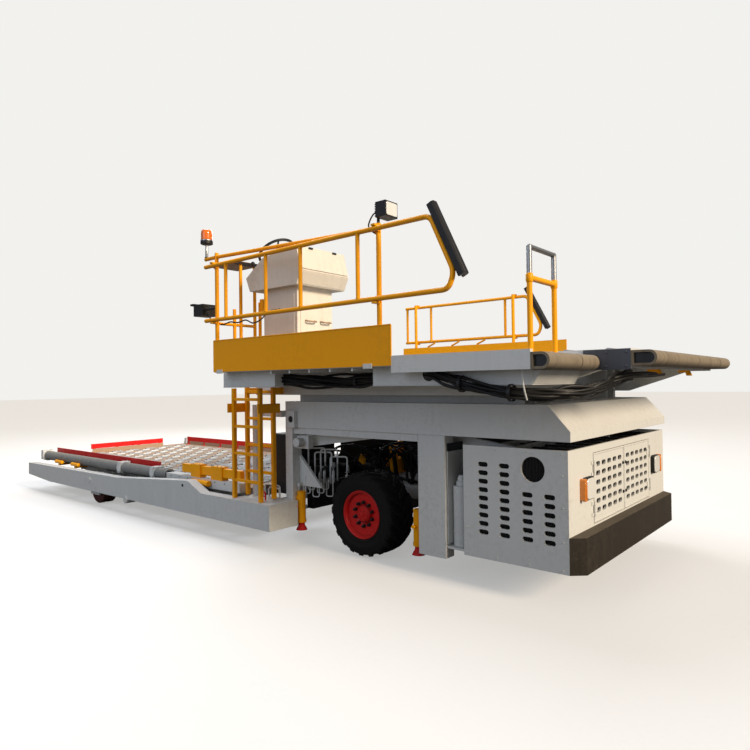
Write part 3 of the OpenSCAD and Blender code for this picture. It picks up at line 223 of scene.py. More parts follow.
bm = bmesh.new()
for s in (-1, 1):
    for x in (1.16, 1.31):
        for z in (0.25, 0.44):
            bolt(bm, (x, MID + s * 1.52, z), (0, s, 0), 0.012)
    for z in (0.32, 0.5):
        for x in (1.29, 1.335, 2.855, 2.9):
            bolt(bm, (x, MID + s * 1.205, z), (0, s, 0), 0.008)
piece("frame_bolts", bm, "chassis", steel)

# Small fittings on the frames: the portal's rear marker eyes and a cable grommet of moulded
# rubber, the red handle at the ladder's foot, and the white steel pipes clipped beside it.
def bent_path(points, radius, n=6):
    pts = [Vector(p) for p in points]
    path = [pts[0]]
    for a, b, c in zip(pts, pts[1:], pts[2:]):
        p, q = b + (a - b).normalized() * radius, b + (c - b).normalized() * radius
        path += [p * (1 - t) ** 2 + b * 2 * t * (1 - t) + q * t * t for t in (k / n for k in range(n + 1))]
    return path + [pts[-1]]


# Moulded nylon and rubber: black and matt, with a fine pebble grain.
plastic = finish_material("black_moulded_plastic", "#141416", "#242425", "#4a453d", 0.5, dusty=0.2, streaky=0.1,
                          grain_mm=0.8)
# Red enamel: a soft gloss that darkens where it is worn.
red = finish_material("bright_red_paint", "#d41d1c", "#971516", "#93705f", 0.38, dusty=0.15, streaky=0.15, chip=0.5,
                      shine=0.25)
bm = bmesh.new()
for s in (-1, 1):
    eye = (1.275, MID + s * 1.276, 1.35)
    spin(bm, eye, (0, s, 0),
         [(0, 0.035), (0.012, 0.034), (0.016, 0.028), (0.012, 0.022), (0.018, 0.012), (0.02, 0.004)], 28)
spin(bm, (-0.27, -1.391, 0.535), (0, -1, 0), [(0, 0.017), (0.004, 0.016), (0.004, 0.011), (0.002, 0.01)], 24)
piece("portal_lenses", bm, "chassis", plastic)
bm = bmesh.new()
pipe(bm, bent_path([(0.98, -1.22, 0.481), (0.98, -1.22, 0.57), (1.06, -1.22, 0.57), (1.06, -1.22, 0.481)], 0.025),
     0.009)
pipe(bm, bent_path([(0.99, -1.22, 0.525), (1.055, -1.22, 0.525)], 0.01), 0.007)
piece("ladder_foot_handle", bm, "chassis", red)
bm = bmesh.new()
for k, (x0, x1, z) in enumerate(((0.86, 1.11, 0.62), (0.9, 1.08, 0.585), (0.6, 0.82, 0.55))):
    pipe(bm, bent_path([(x0, -1.06 + 0.02 * k, 0.481), (x0, -1.06 + 0.02 * k, z), (x1, -1.06 + 0.02 * k, z),
                        (x1, -1.06 + 0.02 * k, 0.481)], 0.035), 0.009)
piece("frame_pipes", bm, "chassis", white)

# Wheel bay: pumps, valve blocks and a tank with rubber hoses, bent steel pipes and spin-on
# filters screwed to them. They stay under the bridge lift's cross tubes and inside the steered
# wheels' sweep, and black screens close the bay behind them as painted shade of the deep bay.
def brick(bm, x, y, z):
    for v in bmesh.ops.create_cube(bm, size=1.0)["verts"]:
        v.co = Vector([r[0] + (c + 0.5) * (r[1] - r[0]) for r, c in zip((x, y, z), v.co)])


def rounded(a0, a1, b0, b1, r, n=5):
    corners = ((a1 - r, b1 - r, 0), (a0 + r, b1 - r, 1), (a0 + r, b0 + r, 2), (a1 - r, b0 + r, 3))
    return [(a + r * math.cos((c + k / n) * math.pi / 2), b + r * math.sin((c + k / n) * math.pi / 2))
            for a, b, c in corners for k in range(n + 1)]


def smooth_path(points, steps):
    pts = [Vector(p) for p in points]
    ends = [pts[0] * 2 - pts[1]] + pts + [pts[-1] * 2 - pts[-2]]
    path = []
    for a, b, c, d in zip(ends, ends[1:], ends[2:], ends[3:]):
        for t in (k / steps for k in range(steps)):
            path.append(0.5 * (2 * b + (c - a) * t + (2 * a - 5 * b + 4 * c - d) * t * t
                               + (3 * b - a - 3 * c + d) * t ** 3))
    return path + [pts[-1]]


# Oil hose with a nitrile rubber cover: black, with a dull sheen and little dust.
hose = finish_material("black_hose_rubber", "#0d0d0d", "#1c1a18", "#37332d", 0.45, dusty=0.12, streaky=0.1,
                       shine=0.25)
# Satin black chassis paint: deep, with grey dust on top.
black = finish_material("black_satin_paint", "#161617", "#2e2c2a", "#5a534a", 0.42, dusty=0.3, streaky=0.3)
# Safety yellow enamel: saturated, with few marks because it is touched up.
yellow = finish_material("amber_yellow_paint", "#ffab04", "#d99102", "#b08d4c", 0.36, dusty=0.08, streaky=0.12,
                         chip=0.5, shine=0.2)
dress(black, "hydraulics", "front_axle")

bm = bmesh.new()
runs = [[(1.27, -0.62, 0.80), (1.45, -0.60, 0.98), (1.62, -0.45, 0.92), (1.78, -0.30, 0.70), (2.0, -0.22, 0.64)],
        [(1.27, -0.52, 0.78), (1.42, -0.50, 1.00), (1.60, -0.36, 1.00), (1.80, -0.22, 0.76), (2.1, -0.16, 0.65)],
        [(1.27, -0.40, 0.75), (1.50, -0.38, 1.02), (1.75, -0.26, 0.94), (1.95, -0.12, 0.70), (2.3, -0.10, 0.64)],
        [(1.40, -0.26, 0.70), (1.62, -0.18, 1.01), (1.92, 0.02, 0.98), (2.12, 0.12, 0.72), (2.5, 0.10, 0.65)],
        [(1.45, 0.10, 0.72), (1.70, 0.12, 1.00), (2.0, 0.26, 0.97), (2.3, 0.32, 0.70), (2.7, 0.30, 0.64)],
        [(1.40, 0.36, 0.70), (1.72, 0.40, 1.02), (2.1, 0.50, 0.99), (2.42, 0.48, 0.70), (2.8, 0.50, 0.64)],
        [(1.40, 0.80, 0.80), (1.70, 0.76, 1.02), (2.1, 0.70, 1.00), (2.5, 0.74, 0.94), (2.92, 0.80, 0.98)],
        [(1.42, 0.90, 0.84), (1.8, 0.86, 1.00), (2.2, 0.84, 1.01), (2.6, 0.86, 1.0), (2.92, 0.90, 0.86)],
        [(2.2, -0.14, 0.63), (2.4, -0.26, 0.86), (2.62, -0.30, 0.99), (2.8, -0.36, 0.96), (2.93, -0.40, 0.80)],
        [(2.3, -0.06, 0.63), (2.48, -0.18, 0.90), (2.68, -0.22, 1.01), (2.84, -0.26, 0.98), (2.93, -0.30, 0.74)],
        [(2.45, 0.10, 0.63), (2.58, -0.06, 0.88), (2.72, -0.12, 1.00), (2.86, -0.16, 0.94), (2.93, -0.18, 0.70)],
        [(2.66, 0.3, 0.63), (2.74, 0.16, 0.84), (2.82, 0.08, 0.96), (2.90, 0.02, 0.88), (2.93, 0.0, 0.68)],
        [(2.93, -0.52, 0.98), (2.78, -0.48, 0.86), (2.62, -0.40, 0.78), (2.46, -0.34, 0.86), (2.30, -0.26, 1.02)],
        [(2.93, -0.46, 1.02), (2.76, -0.42, 0.92), (2.58, -0.34, 0.86), (2.40, -0.28, 0.93), (2.22, -0.20, 1.03)],
        [(2.93, -0.34, 1.03), (2.74, -0.30, 0.96), (2.54, -0.24, 0.92), (2.34, -0.18, 0.98), (2.14, -0.10, 1.03)]]
for k, run in enumerate(runs):
    pipe(bm, smooth_path(run, 8), 0.012 + 0.003 * (k % 3), 10)
for k in range(18):
    x = 1.66 + 0.07 * k
    y = -0.30 + 0.05 * math.sin(k * 2.3)
    rise = 0.80 + 0.18 * math.sin(k * 1.9) ** 2
    top = 1.0 + 0.03 * math.sin(k * 3.1)
    loop = [(x, y + 0.2, 0.63), (x + 0.05, y + 0.1, rise), (x + 0.16, y, top), (x + 0.2, y + 0.15, rise + 0.04),
            (x + 0.12, y + 0.35, 0.63)]
    pipe(bm, smooth_path(loop, 6), 0.007 + 0.002 * (k % 3), 8)
piece("wheel_bay_hoses", bm, "chassis", hose)
# Painted shade: black plates and blocks set at the back of the bay, where the deep bay lies in shadow.
bm = bmesh.new()
for x0, x1, top in ((1.58, 2.2, 1.02), (2.22, 2.93, 1.0)):
    prism(bm, rounded(x0, x1, 0.625, top, 0.03), (0, 0.55, 0), (1, 0, 0), (0, 0, 1), 0.012)
    for k in range(4):
        x = x0 + 0.1 + k * 0.14
        brick(bm, (x, x + 0.09), (0.47, 0.538), (0.66 + 0.05 * (k % 2), 0.90 + 0.03 * (k % 3)))
brick(bm, (1.262, 1.36), (-0.80, 1.30), (0.36, 0.616))
brick(bm, (1.147, 1.154), (-0.14, 1.32), (0.621, 1.17))
prism(bm, rounded(1.46, 2.72, 0.88, 1.189, 0.04), (0, 1.36, 0), (1, 0, 0), (0, 0, 1), 0.012)
piece("wheel_bay_shade_screens", bm, "chassis", black, bevel_mm=3)
bm = bmesh.new()
for x, y, top in ((1.29, -0.80, 1.02), (1.33, -0.74, 0.97), (1.38, -0.70, 1.00), (1.47, -0.64, 0.92),
                  (1.60, 0.66, 1.0), (1.66, 0.6, 0.94)):
    pipe(bm, bent_path([(x, y, 0.622), (x, y, top), (x + 0.16, y + 0.10, top), (x + 0.16, y + 0.10, top - 0.16),
                        (x + 0.08, y + 0.18, top - 0.16), (x + 0.08, y + 0.18, 0.64)], 0.03), 0.009)
for k in range(7):
    x, y = 1.275 + 0.035 * k, -0.93 + 0.035 * k
    low, top = 0.50 + 0.04 * (k % 3), 0.74 + 0.06 * math.sin(k * 2.2)
    loop = [(x, y, 0.66), (x, y, low), (x + 0.07, y + 0.03, low), (x + 0.07, y + 0.03, top),
            (x + 0.02, y + 0.10, top), (x + 0.02, y + 0.10, 0.64)]
    pipe(bm, bent_path(loop, 0.025), 0.007, 8)
for x, y, z in ((1.36, -0.66, 0.72), (1.36, -0.48, 0.74), (1.36, -0.86, 0.74), (1.4, -0.3, 0.7)):
    spin(bm, (x, y, z), (0, 0, 1), [(0, 0.03), (0.05, 0.03), (0.055, 0.022), (0.09, 0.022)], 12)
brick(bm, (1.27, 1.30), (-0.95, -0.45), (0.62, 0.655))
piece("wheel_bay_pipes", bm, "chassis", white)
bm = bmesh.new()
for x, y, z, r, h in ((1.52, 0.42, 0.80, 0.05, 0.16), (1.50, 0.60, 0.86, 0.045, 0.15),
                      (1.46, -0.10, 0.78, 0.04, 0.12), (2.78, 0.6, 0.64, 0.05, 0.18)):
    spin(bm, (x, y, z), (0, 0, 1),
         [(0, r * 0.8), (0.01, r), (h * 0.7, r), (h * 0.75, r * 1.2), (h * 0.9, r * 1.2), (h, r * 0.7)], 20)
brick(bm, (1.44, 1.58), (0.36, 0.66), (0.62, 0.80))
brick(bm, (2.72, 2.84), (0.54, 0.66), (0.62, 0.64))
piece("oil_filters", bm, "chassis", yellow, bevel_mm=3)

# Engine box: slotted sheet panels round a cast engine, under a folded hood. Finned cooler packs
# stand behind the slots, round tanks are strapped beside it, a solid rubber bumper is bolted in
# front, and two-colour lamps are screwed to the corners.
def fins(bm, at, u, v, width, height, depth, pitch):
    n = int(width / pitch)
    crest = [(i * pitch, depth if i % 2 else depth * 0.35) for i in range(n + 1)]
    prism(bm, crest + [(n * pitch, 0), (0, 0)], at, u, v, height)


# Cast iron: dark, with the coarse grain of the sand mould.
iron = finish_material("cast_engine_iron", "#3a3c3e", "#2a2826", "#6d655b", 0.6, metal=0.4, grain_mm=1.5, relief=0.2)
# Solid rubber: near black and rubbed brown; the heavy dust on its top faces is partly real dust and partly a painted
# highlight.
dark_bumper = finish_material("dark_brown_bumper", "#2a2620", "#51463a", "#7d7263", 0.5, dusty=0.45, streaky=0.18,
                              shine=0.25)
# Amber acrylic lens: clear colour under a hard gloss.
amber = finish_material("amber_lamp_lens", "#e08322", "#b8621c", "#b79b62", 0.18, dusty=0.1, streaky=0.1, coat=0.6)
# Clear lens over a bright reflector: a near-white base with a sharp gloss, the white partly the reflector's own and
# partly a painted reflection.
glass = finish_material("clear_lamp_glass", "#f0f1ee", "#b9bcb8", "#c4c0b6", 0.08, metal=0.15, dusty=0.1, streaky=0.1,
                        coat=0.8)
dress(white, "hood", "engine_sides", "engine_front", "reservoirs")
dress(iron, "engine_block")
dress(dark_bumper, "front_bumper")
dress(amber, "headlamps")

bm = bmesh.new()
fins(bm, (3.43, MID - 1.205, 0.36), (1, 0, 0), (0, -1, 0), 0.85, -0.80, 0.02, 0.014)
fins(bm, (3.43, MID + 1.205, 0.36), (1, 0, 0), (0, 1, 0), 0.85, 0.80, 0.02, 0.014)
brick(bm, (3.43, 4.30), (-0.94, 1.44), (1.10, 1.115))
for k in range(9):
    brick(bm, (3.45, 4.28), (-0.82 + k * 0.26, -0.79 + k * 0.26), (1.115, 1.13))
brick(bm, (3.222, 3.234), (-0.97, 1.47), (1.12, 1.19))
piece("engine_bay_lining", bm, "chassis", black)
bm = bmesh.new()
for s in (-1, 1):
    mid = (3.3145, MID + s * 1.12)
    for z in (0.42, 0.70):
        spin(bm, (mid[0], mid[1], z), (0, 0, 1), [(0, 0.0785), (0, 0.081), (0.02, 0.081), (0.02, 0.0785)], 32, True)
    spin(bm, (mid[0], mid[1], 0.86), (0, 0, 1), [(0, 0.04), (0.03, 0.04), (0.035, 0.034), (0.05, 0.03)], 18)
    drain = [(mid[0] - 0.07, mid[1] - s * 0.02, 0.45), (3.235, mid[1] - s * 0.05, 0.40),
             (3.23, mid[1] - s * 0.1, 0.33)]
    pipe(bm, smooth_path(drain, 6), 0.008, 8)
brick(bm, (3.222, 3.234), (-0.97, 1.47), (0.32, 1.12))
piece("tank_straps_and_screen", bm, "chassis", white)
shells = bmesh.new()
ambers = bmesh.new()
clears = bmesh.new()
for s in (-1, 1):
    prism(shells, rounded(0.805, 0.983, 0.78, 0.96, 0.03), (4.331, MID, 0), (0, s, 0), (0, 0, s), 0.03)
    prism(ambers, rounded(0.984, 1.03, 0.782, 0.958, 0.018), (4.331, MID, 0), (0, s, 0), (0, 0, s), 0.042)
    prism(clears, rounded(0.813, 0.977, 0.788, 0.952, 0.034), (4.361, MID, 0), (0, s, 0), (0, 0, s), 0.012)
    for k in range(3):
        y = MID + s * (0.995 + k * 0.012)
        brick(ambers, (4.372, 4.3745), (y - 0.002, y + 0.002), (0.80, 0.94))
for parts in (shells, ambers, clears):
    for v in parts.verts:
        v.co.z = abs(v.co.z)
piece("corner_lamp_shells", shells, "chassis", plastic, ["headlamps"], bevel_mm=3)
piece("corner_lamp_ambers", ambers, "chassis", amber, bevel_mm=6)
piece("corner_lamp_clears", clears, "chassis", glass, bevel_mm=5)

# Engine doors: two slotted sheet doors on pin hinges, with a finned pack behind the slots, a
# stiffening border welded round the edge, and black paddle latches where the doors meet.
dress(white, "engine_door_r", "engine_door_l")
for name, s in (("right", -1), ("left", 1)):
    bm = bmesh.new()
    fins(bm, (4.292, MID + s * 0.03, 0.59), (0, s, 0), (1, 0, 0), 0.68, -s * 0.51, 0.014, 0.012)
    piece("door_fins_" + name, bm, "door_" + name, black)
    bm = bmesh.new()
    for z in (0.72, 0.98):
        prism(bm, rounded(0.024, 0.042, -0.014, 0.014, 0.005), (4.3305, MID, z), (0, s, 0), (0, 0, s), 0.006)
        prism(bm, rounded(0.028, 0.038, -0.010, 0.008, 0.004), (4.3365, MID, z), (0, s, 0), (0, 0, s), 0.008)
    piece("door_latches_" + name, bm, "door_" + name, plastic, bevel_mm=1)
    bm = bmesh.new()
    for a, b in (((0.01, 0.57), (0.735, 0.57)), ((0.01, 1.12), (0.735, 1.12)), ((0.01, 0.57), (0.01, 1.12)),
                 ((0.735, 0.57), (0.735, 1.12))):
        pipe(bm, [Vector((4.331, MID + s * p[0], p[1])) for p in (a, b)], 0.005, 8)
    piece("door_border_" + name, bm, "door_" + name, white)

# Wheels: steered front wheels with pneumatic tyres, slanted tread lugs and ten nuts round a red
# pressed rim, on black forged knuckles. The rear wheels are small solid twins with bolted hubs.

# Tyre rubber: near black and dull, browned by dust.
tyre = finish_material("tyre_rubber", "#141312", "#26231f", "#4d463d", 0.8, dusty=0.2, streaky=0.2, grain_mm=1.2,
                       relief=0.2, shine=0.25)
# Solid polyurethane tyre: dark red-brown, scuffed and matt.
solid_tyre = finish_material("brown_solid_tyre", "#4a2019", "#5d3a2e", "#6d5f50", 0.75, dusty=0.3, grain_mm=1.2)
dress(tyre, "front_tyre_r", "front_tyre_l")
dress(red, "front_rim_r", "front_rim_l")
dress(black, "knuckle_r", "knuckle_l")
dress(solid_tyre, "rear_wheels_r", "rear_wheels_l")

for name, s in (("right", -1), ("left", 1)):
    mid = Vector((2.165, MID + s * 1.005, 0.42))
    half = [(0.160, 0.24), (0.174, 0.25), (0.180, 0.262), (0.176, 0.268), (0.185, 0.285), (0.191, 0.31),
            (0.194, 0.315), (0.194, 0.322), (0.191, 0.327), (0.191, 0.35), (0.185, 0.372), (0.17, 0.39),
            (0.14, 0.398), (0.06, 0.40)]
    profile = [(-a, r) for a, r in half] + [(a, r) for a, r in reversed(half)]
    bm = bmesh.new()
    spin(bm, mid, (0, 1, 0), profile, 80, True)
    lugs = 20
    for edge in (-1, 1):
        for k in range(lugs):
            start = 2 * math.pi * (k + (0.5 if edge > 0 else 0)) / lugs
            rings = []
            for a, top, width in ((0.004, 0.419, 0.050), (0.06, 0.42, 0.056), (0.13, 0.417, 0.062),
                                  (0.172, 0.402, 0.066), (0.191, 0.372, 0.062)):
                lean = start + a * 1.8
                low = min(top - 0.004, 0.396 if a < 0.15 else top - 0.012)
                rings.append([mid + Vector((r * math.cos(lean + w), edge * a, r * math.sin(lean + w)))
                              for r, w in ((low, -width - 0.01), (low, width + 0.01), (top, width), (top, -width))])
            loft(bm, rings)
    piece("front_tyre_" + name, bm, "front_wheel_" + name, tyre, ["front_tyre_" + name[0]], bevel_mm=2)
    bm = bmesh.new()
    nuts, nut_circle = 10, 0.118
    for k in range(nuts):
        q = 2 * math.pi * (k + 0.5) / nuts
        at = mid + Vector((nut_circle * math.cos(q), s * 0.110, nut_circle * math.sin(q)))
        spin(bm, at, (0, s, 0),
             [(0, 0.021), (0.008, 0.021), (0.008, 0.017), (0.03, 0.017), (0.033, 0.012), (0.044, 0.011)], 6)
    piece("wheel_nuts_" + name, bm, "front_wheel_" + name, black, bevel_mm=1)
    bm = bmesh.new()
    spin(bm, mid, (0, s, 0), [(0.157, 0.236), (0.167, 0.238), (0.169, 0.232), (0.163, 0.222)], 64, True)
    for k in range(6):
        q = 2 * math.pi * k / 6
        bolt(bm, mid + Vector((0.045 * math.cos(q), s * 0.1505, 0.045 * math.sin(q))), (0, s, 0), 0.007)
    spin(bm, mid + Vector((0, s * 0.1505, 0)), (0, s, 0), [(0, 0.028), (0.006, 0.026), (0.008, 0.018)], 24)
    piece("rim_lip_" + name, bm, "front_wheel_" + name, red)
    bm = bmesh.new()
    back = Vector((-2.8, MID + s * 1.375, 0.2))
    for k in range(6):
        q = 2 * math.pi * k / 6
        for face in (-1, 1):
            bolt(bm, back + Vector((0.055 * math.cos(q), face * 0.1005, 0.055 * math.sin(q))), (0, face, 0), 0.008)
    piece("rear_hub_bolts_" + name, bm, "rear_wheel_" + name, steel)

# Main platform: a slotted steel plate on welded ribs, with steel rollers in the slots, bolted red
# guides, and rubber bumper tubes held in clamps. Short staggered rollers lie between the long rows
# over thin black trays that paint the shade in their slots, and ribbed strips fill the front end.

# Anti-slip deck paint: tan and rough, worn by pallets.
tan = finish_material("worn_tan_deck_paint", "#a88c72", "#836b56", "#978876", 0.55, dusty=0.3, streaky=0.1, chip=0.5)
# Extruded grey rubber tube: dull, with dark scuffs.
tube_rubber = finish_material("grey_bumper_tube", "#7d7d7a", "#57554f", "#8f8675", 0.75, dusty=0.3, streaky=0.4)
dress(tan, "platform_plate")
dress(white, "platform_deck")
dress(steel, "platform_rollers")
dress(red, "platform_guides")
dress(tube_rubber, "platform_tubes")
dress(yellow, "platform_drives")

# Long rollers lie a seventeenth of the plate apart. The short ones stop where the strips begin.
deck_rear, pitch, strips_from = -4.68, 5.21 / 17, -1.3
places = [(deck_rear + (i + 1) * pitch, MID - 1.12 + (j + 1) * 0.32) for i in range(16) for j in range(6)]
places = [(x, y) for x, y in places if x < strips_from]
tube_out, tube_z, clamp_x = 1.377, 0.564, (-4.87, -2.2, -1.3)
bm = bmesh.new()
for x, y in places:
    spin(bm, (x, y - 0.07, 0.5445), (0, 1, 0), [(0, 0.006), (0, 0.0145), (0.14, 0.0145), (0.14, 0.006)], 14)
piece("deck_short_rollers", bm, "platform", white)
bm = bmesh.new()
# Painted shade: thin black trays under the short rollers darken the deck's slots.
for x, y in places:
    tray = rounded(x - 0.026, x + 0.026, y - 0.085, y + 0.085, 0.012, 3)
    prism(bm, tray, (0, 0, 0.5405), (1, 0, 0), (0, 1, 0), 0.0015)
# Painted shade: black discs just inside the bumper tubes' open ends darken the inside of the tubes.
for x in (-4.87, -1.06):
    for s in (-1, 1):
        spin(bm, (x, MID + s * tube_out, tube_z), (1, 0, 0), [(0, 0.054), (0.02, 0.054)], 32)
piece("deck_slot_and_tube_end_shade", bm, "platform", black)
bm = bmesh.new()
for i in range(10, 17):
    x = deck_rear + i * pitch
    if x > -1.45:
        brick(bm, (x - 0.095, x + 0.095), (MID - 1.2, MID + 1.2), (0.5402, 0.543))
        for k in range(4):
            spin(bm, (x - 0.07 + k * 0.047, MID - 1.19, 0.543), (0, 1, 0), [(0, 0.012), (2.38, 0.012)], 10)
piece("deck_ribbed_strips", bm, "platform", steel)
bm = bmesh.new()
for s in (-1, 1):
    for x in clamp_x:
        for dx in (-0.025, 0.025):
            bolt(bm, (x + dx, MID + s * 1.32, 0.651), (0, 0, 1), 0.008)
            bolt(bm, (x + dx, MID + s * 1.464, 0.52), (0, s, 0), 0.008)
    for k in range(7):
        bolt(bm, (deck_rear + k * 0.5367, MID + s * 1.22, 0.5525), (0, 0, 1), 0.007)
    for k in range(8):
        bolt(bm, (-0.85 + k * 0.19, MID + s * 1.442, 0.58), (0, s, 0), 0.008)
for x in (-0.38, -0.24, 0.04, 0.12, 0.2):
    for y in (-1.17, -1.108):
        bolt(bm, (x, y, 0.763), (0, 0, 1), 0.009)
piece("platform_bolts", bm, "platform", steel)
bm = bmesh.new()
collar = [(0, 0.0755), (0, 0.088), (0.012, 0.092), (0.022, 0.088), (0.022, 0.0755)]
for x in clamp_x:
    for s in (-1, 1):
        for dx in (-0.05, 0.028):
            spin(bm, (x + dx, MID + s * tube_out, tube_z), (1, 0, 0), collar, 32, True)
piece("tube_collars", bm, "platform", white)
bm = bmesh.new()
for x, r, z in ((-4.26, 0.030, 0.512), (-4.04, 0.030, 0.512), (-3.67, 0.030, 0.512), (-3.45, 0.030, 0.512),
                (-0.31, 0.040, 0.56), (0.02, 0.040, 0.56)):
    spin(bm, (x, -1.231, z), (1, 0, 0), [(0, r * 0.6), (0.004, r * 0.9), (0.014, r * 0.9), (0.018, r * 0.6)], 24)
piece("drive_motor_caps", bm, "platform", yellow)
bm = bmesh.new()
for s in (-1, 1):
    brick(bm, (-4.71, -1.41), sorted((MID + s * 1.2585, MID + s * 1.2695)), (0.5405, 0.6045))
brick(bm, (-4.694, -4.684), (MID - 0.69, MID + 0.69), (0.5405, 0.6145))
piece("guide_skirts", bm, "platform", tan)

# Bridge: a slotted lane plate on welded beams with rollers, and a nose with padded bumpers. Oil
# hoses hang below it in loose strapped bundles, which take the place of the two plain ones, and
# ribs are welded under the operator's floor.

# Slate grey paint: flat and cool, with brown dust.
slate = finish_material("slate_grey_paint", "#4b5059", "#3a3d43", "#6d655b", 0.45, dusty=0.3, streaky=0.4)
# Rubberised canvas over foam: brown, streaked and dusty.
brown_rubber = finish_material("dusty_brown_bumper", "#867a68", "#3a332c", "#958b7b", 0.65, dusty=0.3, streaky=0.6,
                               shine=0.25)
dress(white, "bridge_plate", "bridge_frame", "operator_floor")
dress(steel, "bridge_rollers")
dress(brown_rubber, "bridge_bumpers")
dress(hose, "hose_bundles")

bm = bmesh.new()
rear = [(1.801, -1.57, 1.768), (1.9, -1.56, 1.765), (2.1, -1.52, 1.752), (2.4, -1.48, 1.742), (2.65, -1.475, 1.746),
        (2.88, -1.5, 1.768), (3.009, -1.5, 1.77)]
front = [(3.56, -1.72, 1.786), (3.64, -1.748, 1.784), (3.75, -1.75, 1.752), (3.88, -1.75, 1.712),
         (4.05, -1.745, 1.676), (4.25, -1.72, 1.648), (4.42, -1.60, 1.632), (4.54, -1.47, 1.640),
         (4.61, -1.33, 1.650), (4.66, -1.20, 1.680), (4.69, -1.08, 1.715), (4.705, -0.96, 1.745),
         (4.712, -0.84, 1.757), (4.715, -0.72, 1.759)]
for run, count, wide in ((rear, 17, 1.35), (front, 10, 1.0)):
    for k in range(count):
        spot = 2 * math.pi * k / (count - 1)
        ring = 0.0 if k == count - 1 else wide * (0.022 + 0.012 * (k % 2))
        way = []
        for i, p in enumerate(run):
            loose = 1.0 if i in (0, 1, len(run) - 1, len(run) - 2) else 1.0 + 0.55 * math.sin(i * 1.7 + k * 2.1)
            q = spot + 0.35 * i
            way.append((p[0], p[1] + ring * loose * math.cos(q), p[2] + ring * loose * math.sin(q)))
        pipe(bm, smooth_path(way, 5), 0.0095 + 0.0015 * (k % 3), 8)
tails = {0.012: [(4.50, -1.46, 1.66), (4.62, -1.2, 1.70), (4.74, -0.95, 1.76), (4.80, -0.7, 1.775),
                 (4.83, -0.50, 1.77)],
         0.011: [(4.50, -1.44, 1.65), (4.64, -1.18, 1.69), (4.76, -0.9, 1.745), (4.82, -0.62, 1.752),
                 (4.86, -0.40, 1.765)]}
for r, way in tails.items():
    pipe(bm, smooth_path(way, 6), r, 8)
piece("hose_runs", bm, "bridge", hose, ["hose_bundles"])
bm = bmesh.new()
for x, y, z in ((2.65, -1.475, 1.746), (3.88, -1.75, 1.712), (4.25, -1.72, 1.648)):
    spin(bm, (x - 0.012, y, z), (1, 0, 0), [(0, 0.056), (0, 0.060), (0.024, 0.060), (0.024, 0.056)], 24, True)
spin(bm, (3.56, -1.704, 1.786), (0, -1, 0), [(0, 0.052), (0.006, 0.05), (0.008, 0.044), (0.005, 0.038), (0, 0.038)],
     32, True)
piece("hose_straps_and_grommet", bm, "bridge", plastic)
bm = bmesh.new()
pipe(bm, bent_path([(4.37, -1.80, 1.80), (4.37, -1.79, 1.69), (4.37, -1.74, 1.60)], 0.05), 0.006, 8)
for k in range(5):
    x = 1.9 + k * 0.25
    brick(bm, (x - 0.01, x + 0.01), (-1.83, -1.0), (1.822, 1.85))
for k in range(14):
    x = 0.8 + k * 0.26
    brick(bm, (x - 0.015, x + 0.015), (MID - 0.82, MID + 0.82), (1.86, 1.91))
for x in (1.12, 3.05):
    brick(bm, (x, x + 0.09), (-1.868, -1.8605), (1.838, 1.876))
for a, b in (((1.0, -1.7015, 1.702), (1.8, -1.7015, 1.702)), ((3.01, -1.7015, 1.702), (4.395, -1.7015, 1.702))):
    bead(bm, a, b, 0.004)
piece("floor_ribs_and_hangers", bm, "bridge", white)
bm = bmesh.new()
brick(bm, (4.46, 4.80), (-1.004, -1.0005), (1.80, 1.948))
for x in (4.49, 4.63, 4.77):
    for z in (1.825, 1.925):
        bolt(bm, (x, -1.004, z), (0, -1, 0), 0.008)
piece("nose_side_plate", bm, "bridge", slate, bevel_mm=1)
bm = bmesh.new()
prism(bm, [(0, 0), (0, 0.094), (0.055, 0.094)], (4.3955, -1.698, 1.704), (1, 0, 0), (0, 0, 1), -0.693)
piece("outrigger_end_cover", bm, "bridge", white)
bm = bmesh.new()
for y in (-0.2, 0.75):
    prism(bm, [(0, 0), (0.09, 0), (0.11, -0.05), (0.07, -0.05), (0.06, -0.02), (0, -0.02)], (4.69, y, 1.809),
          (1, 0, 0), (0, 0, 1), 0.05)
piece("nose_hooks", bm, "bridge", yellow, bevel_mm=2)
# Painted shade: black cores fill the nose bumpers so that their open ends look dark.
bm = bmesh.new()
for x, d, z, y0, y1 in ((4.80, 0.175, 1.88, -0.975, 1.05), (4.80, 0.175, 1.88, 1.105, 1.475),
                        (4.455, 0.13, 1.855, -1.835, -1.355), (4.455, 0.13, 1.855, -1.295, -1.035)):
    r = 0.055 - 0.019
    arc = [(d - 0.055 + r * math.sin(k * math.pi / 10), r * math.cos(k * math.pi / 10)) for k in range(11)]
    prism(bm, [(0.019, r)] + arc + [(0.019, -r)], (x, y0, z), (1, 0, 0), (0, 0, -1), y1 - y0)
piece("bumper_end_shade_cores", bm, "bridge", black)

# Operator's platform: yellow toe boards with a hemmed edge, tube rails on bolted post bases, a
# front gate with a bright steel hoop, work lamps and a beacon. The console is folded sheet with a
# hinged lid and bolted panels, and its controls are set in a black panel.

# Powder coat on folded sheet: cream, satin, with grey hand marks.
cream = finish_material("cream_console_paint", "#dcd6ca", "#aea493", "#b3a894", 0.45, dusty=0.3, streaky=0.2,
                        chip=0.3)
# Amber polycarbonate dome: deep orange with a wet gloss.
beacon_amber = finish_material("amber_beacon_lens", "#ea7212", "#c05a14", "#b79b62", 0.14, dusty=0.1, streaky=0.1,
                               coat=0.8)
dress(yellow, "toe_boards", "guard_rails", "front_gate")
dress(steel, "gate_hoop")
dress(cream, "console")
dress(plastic, "steering_wheel", "work_lamps")
dress(beacon_amber, "beacon")

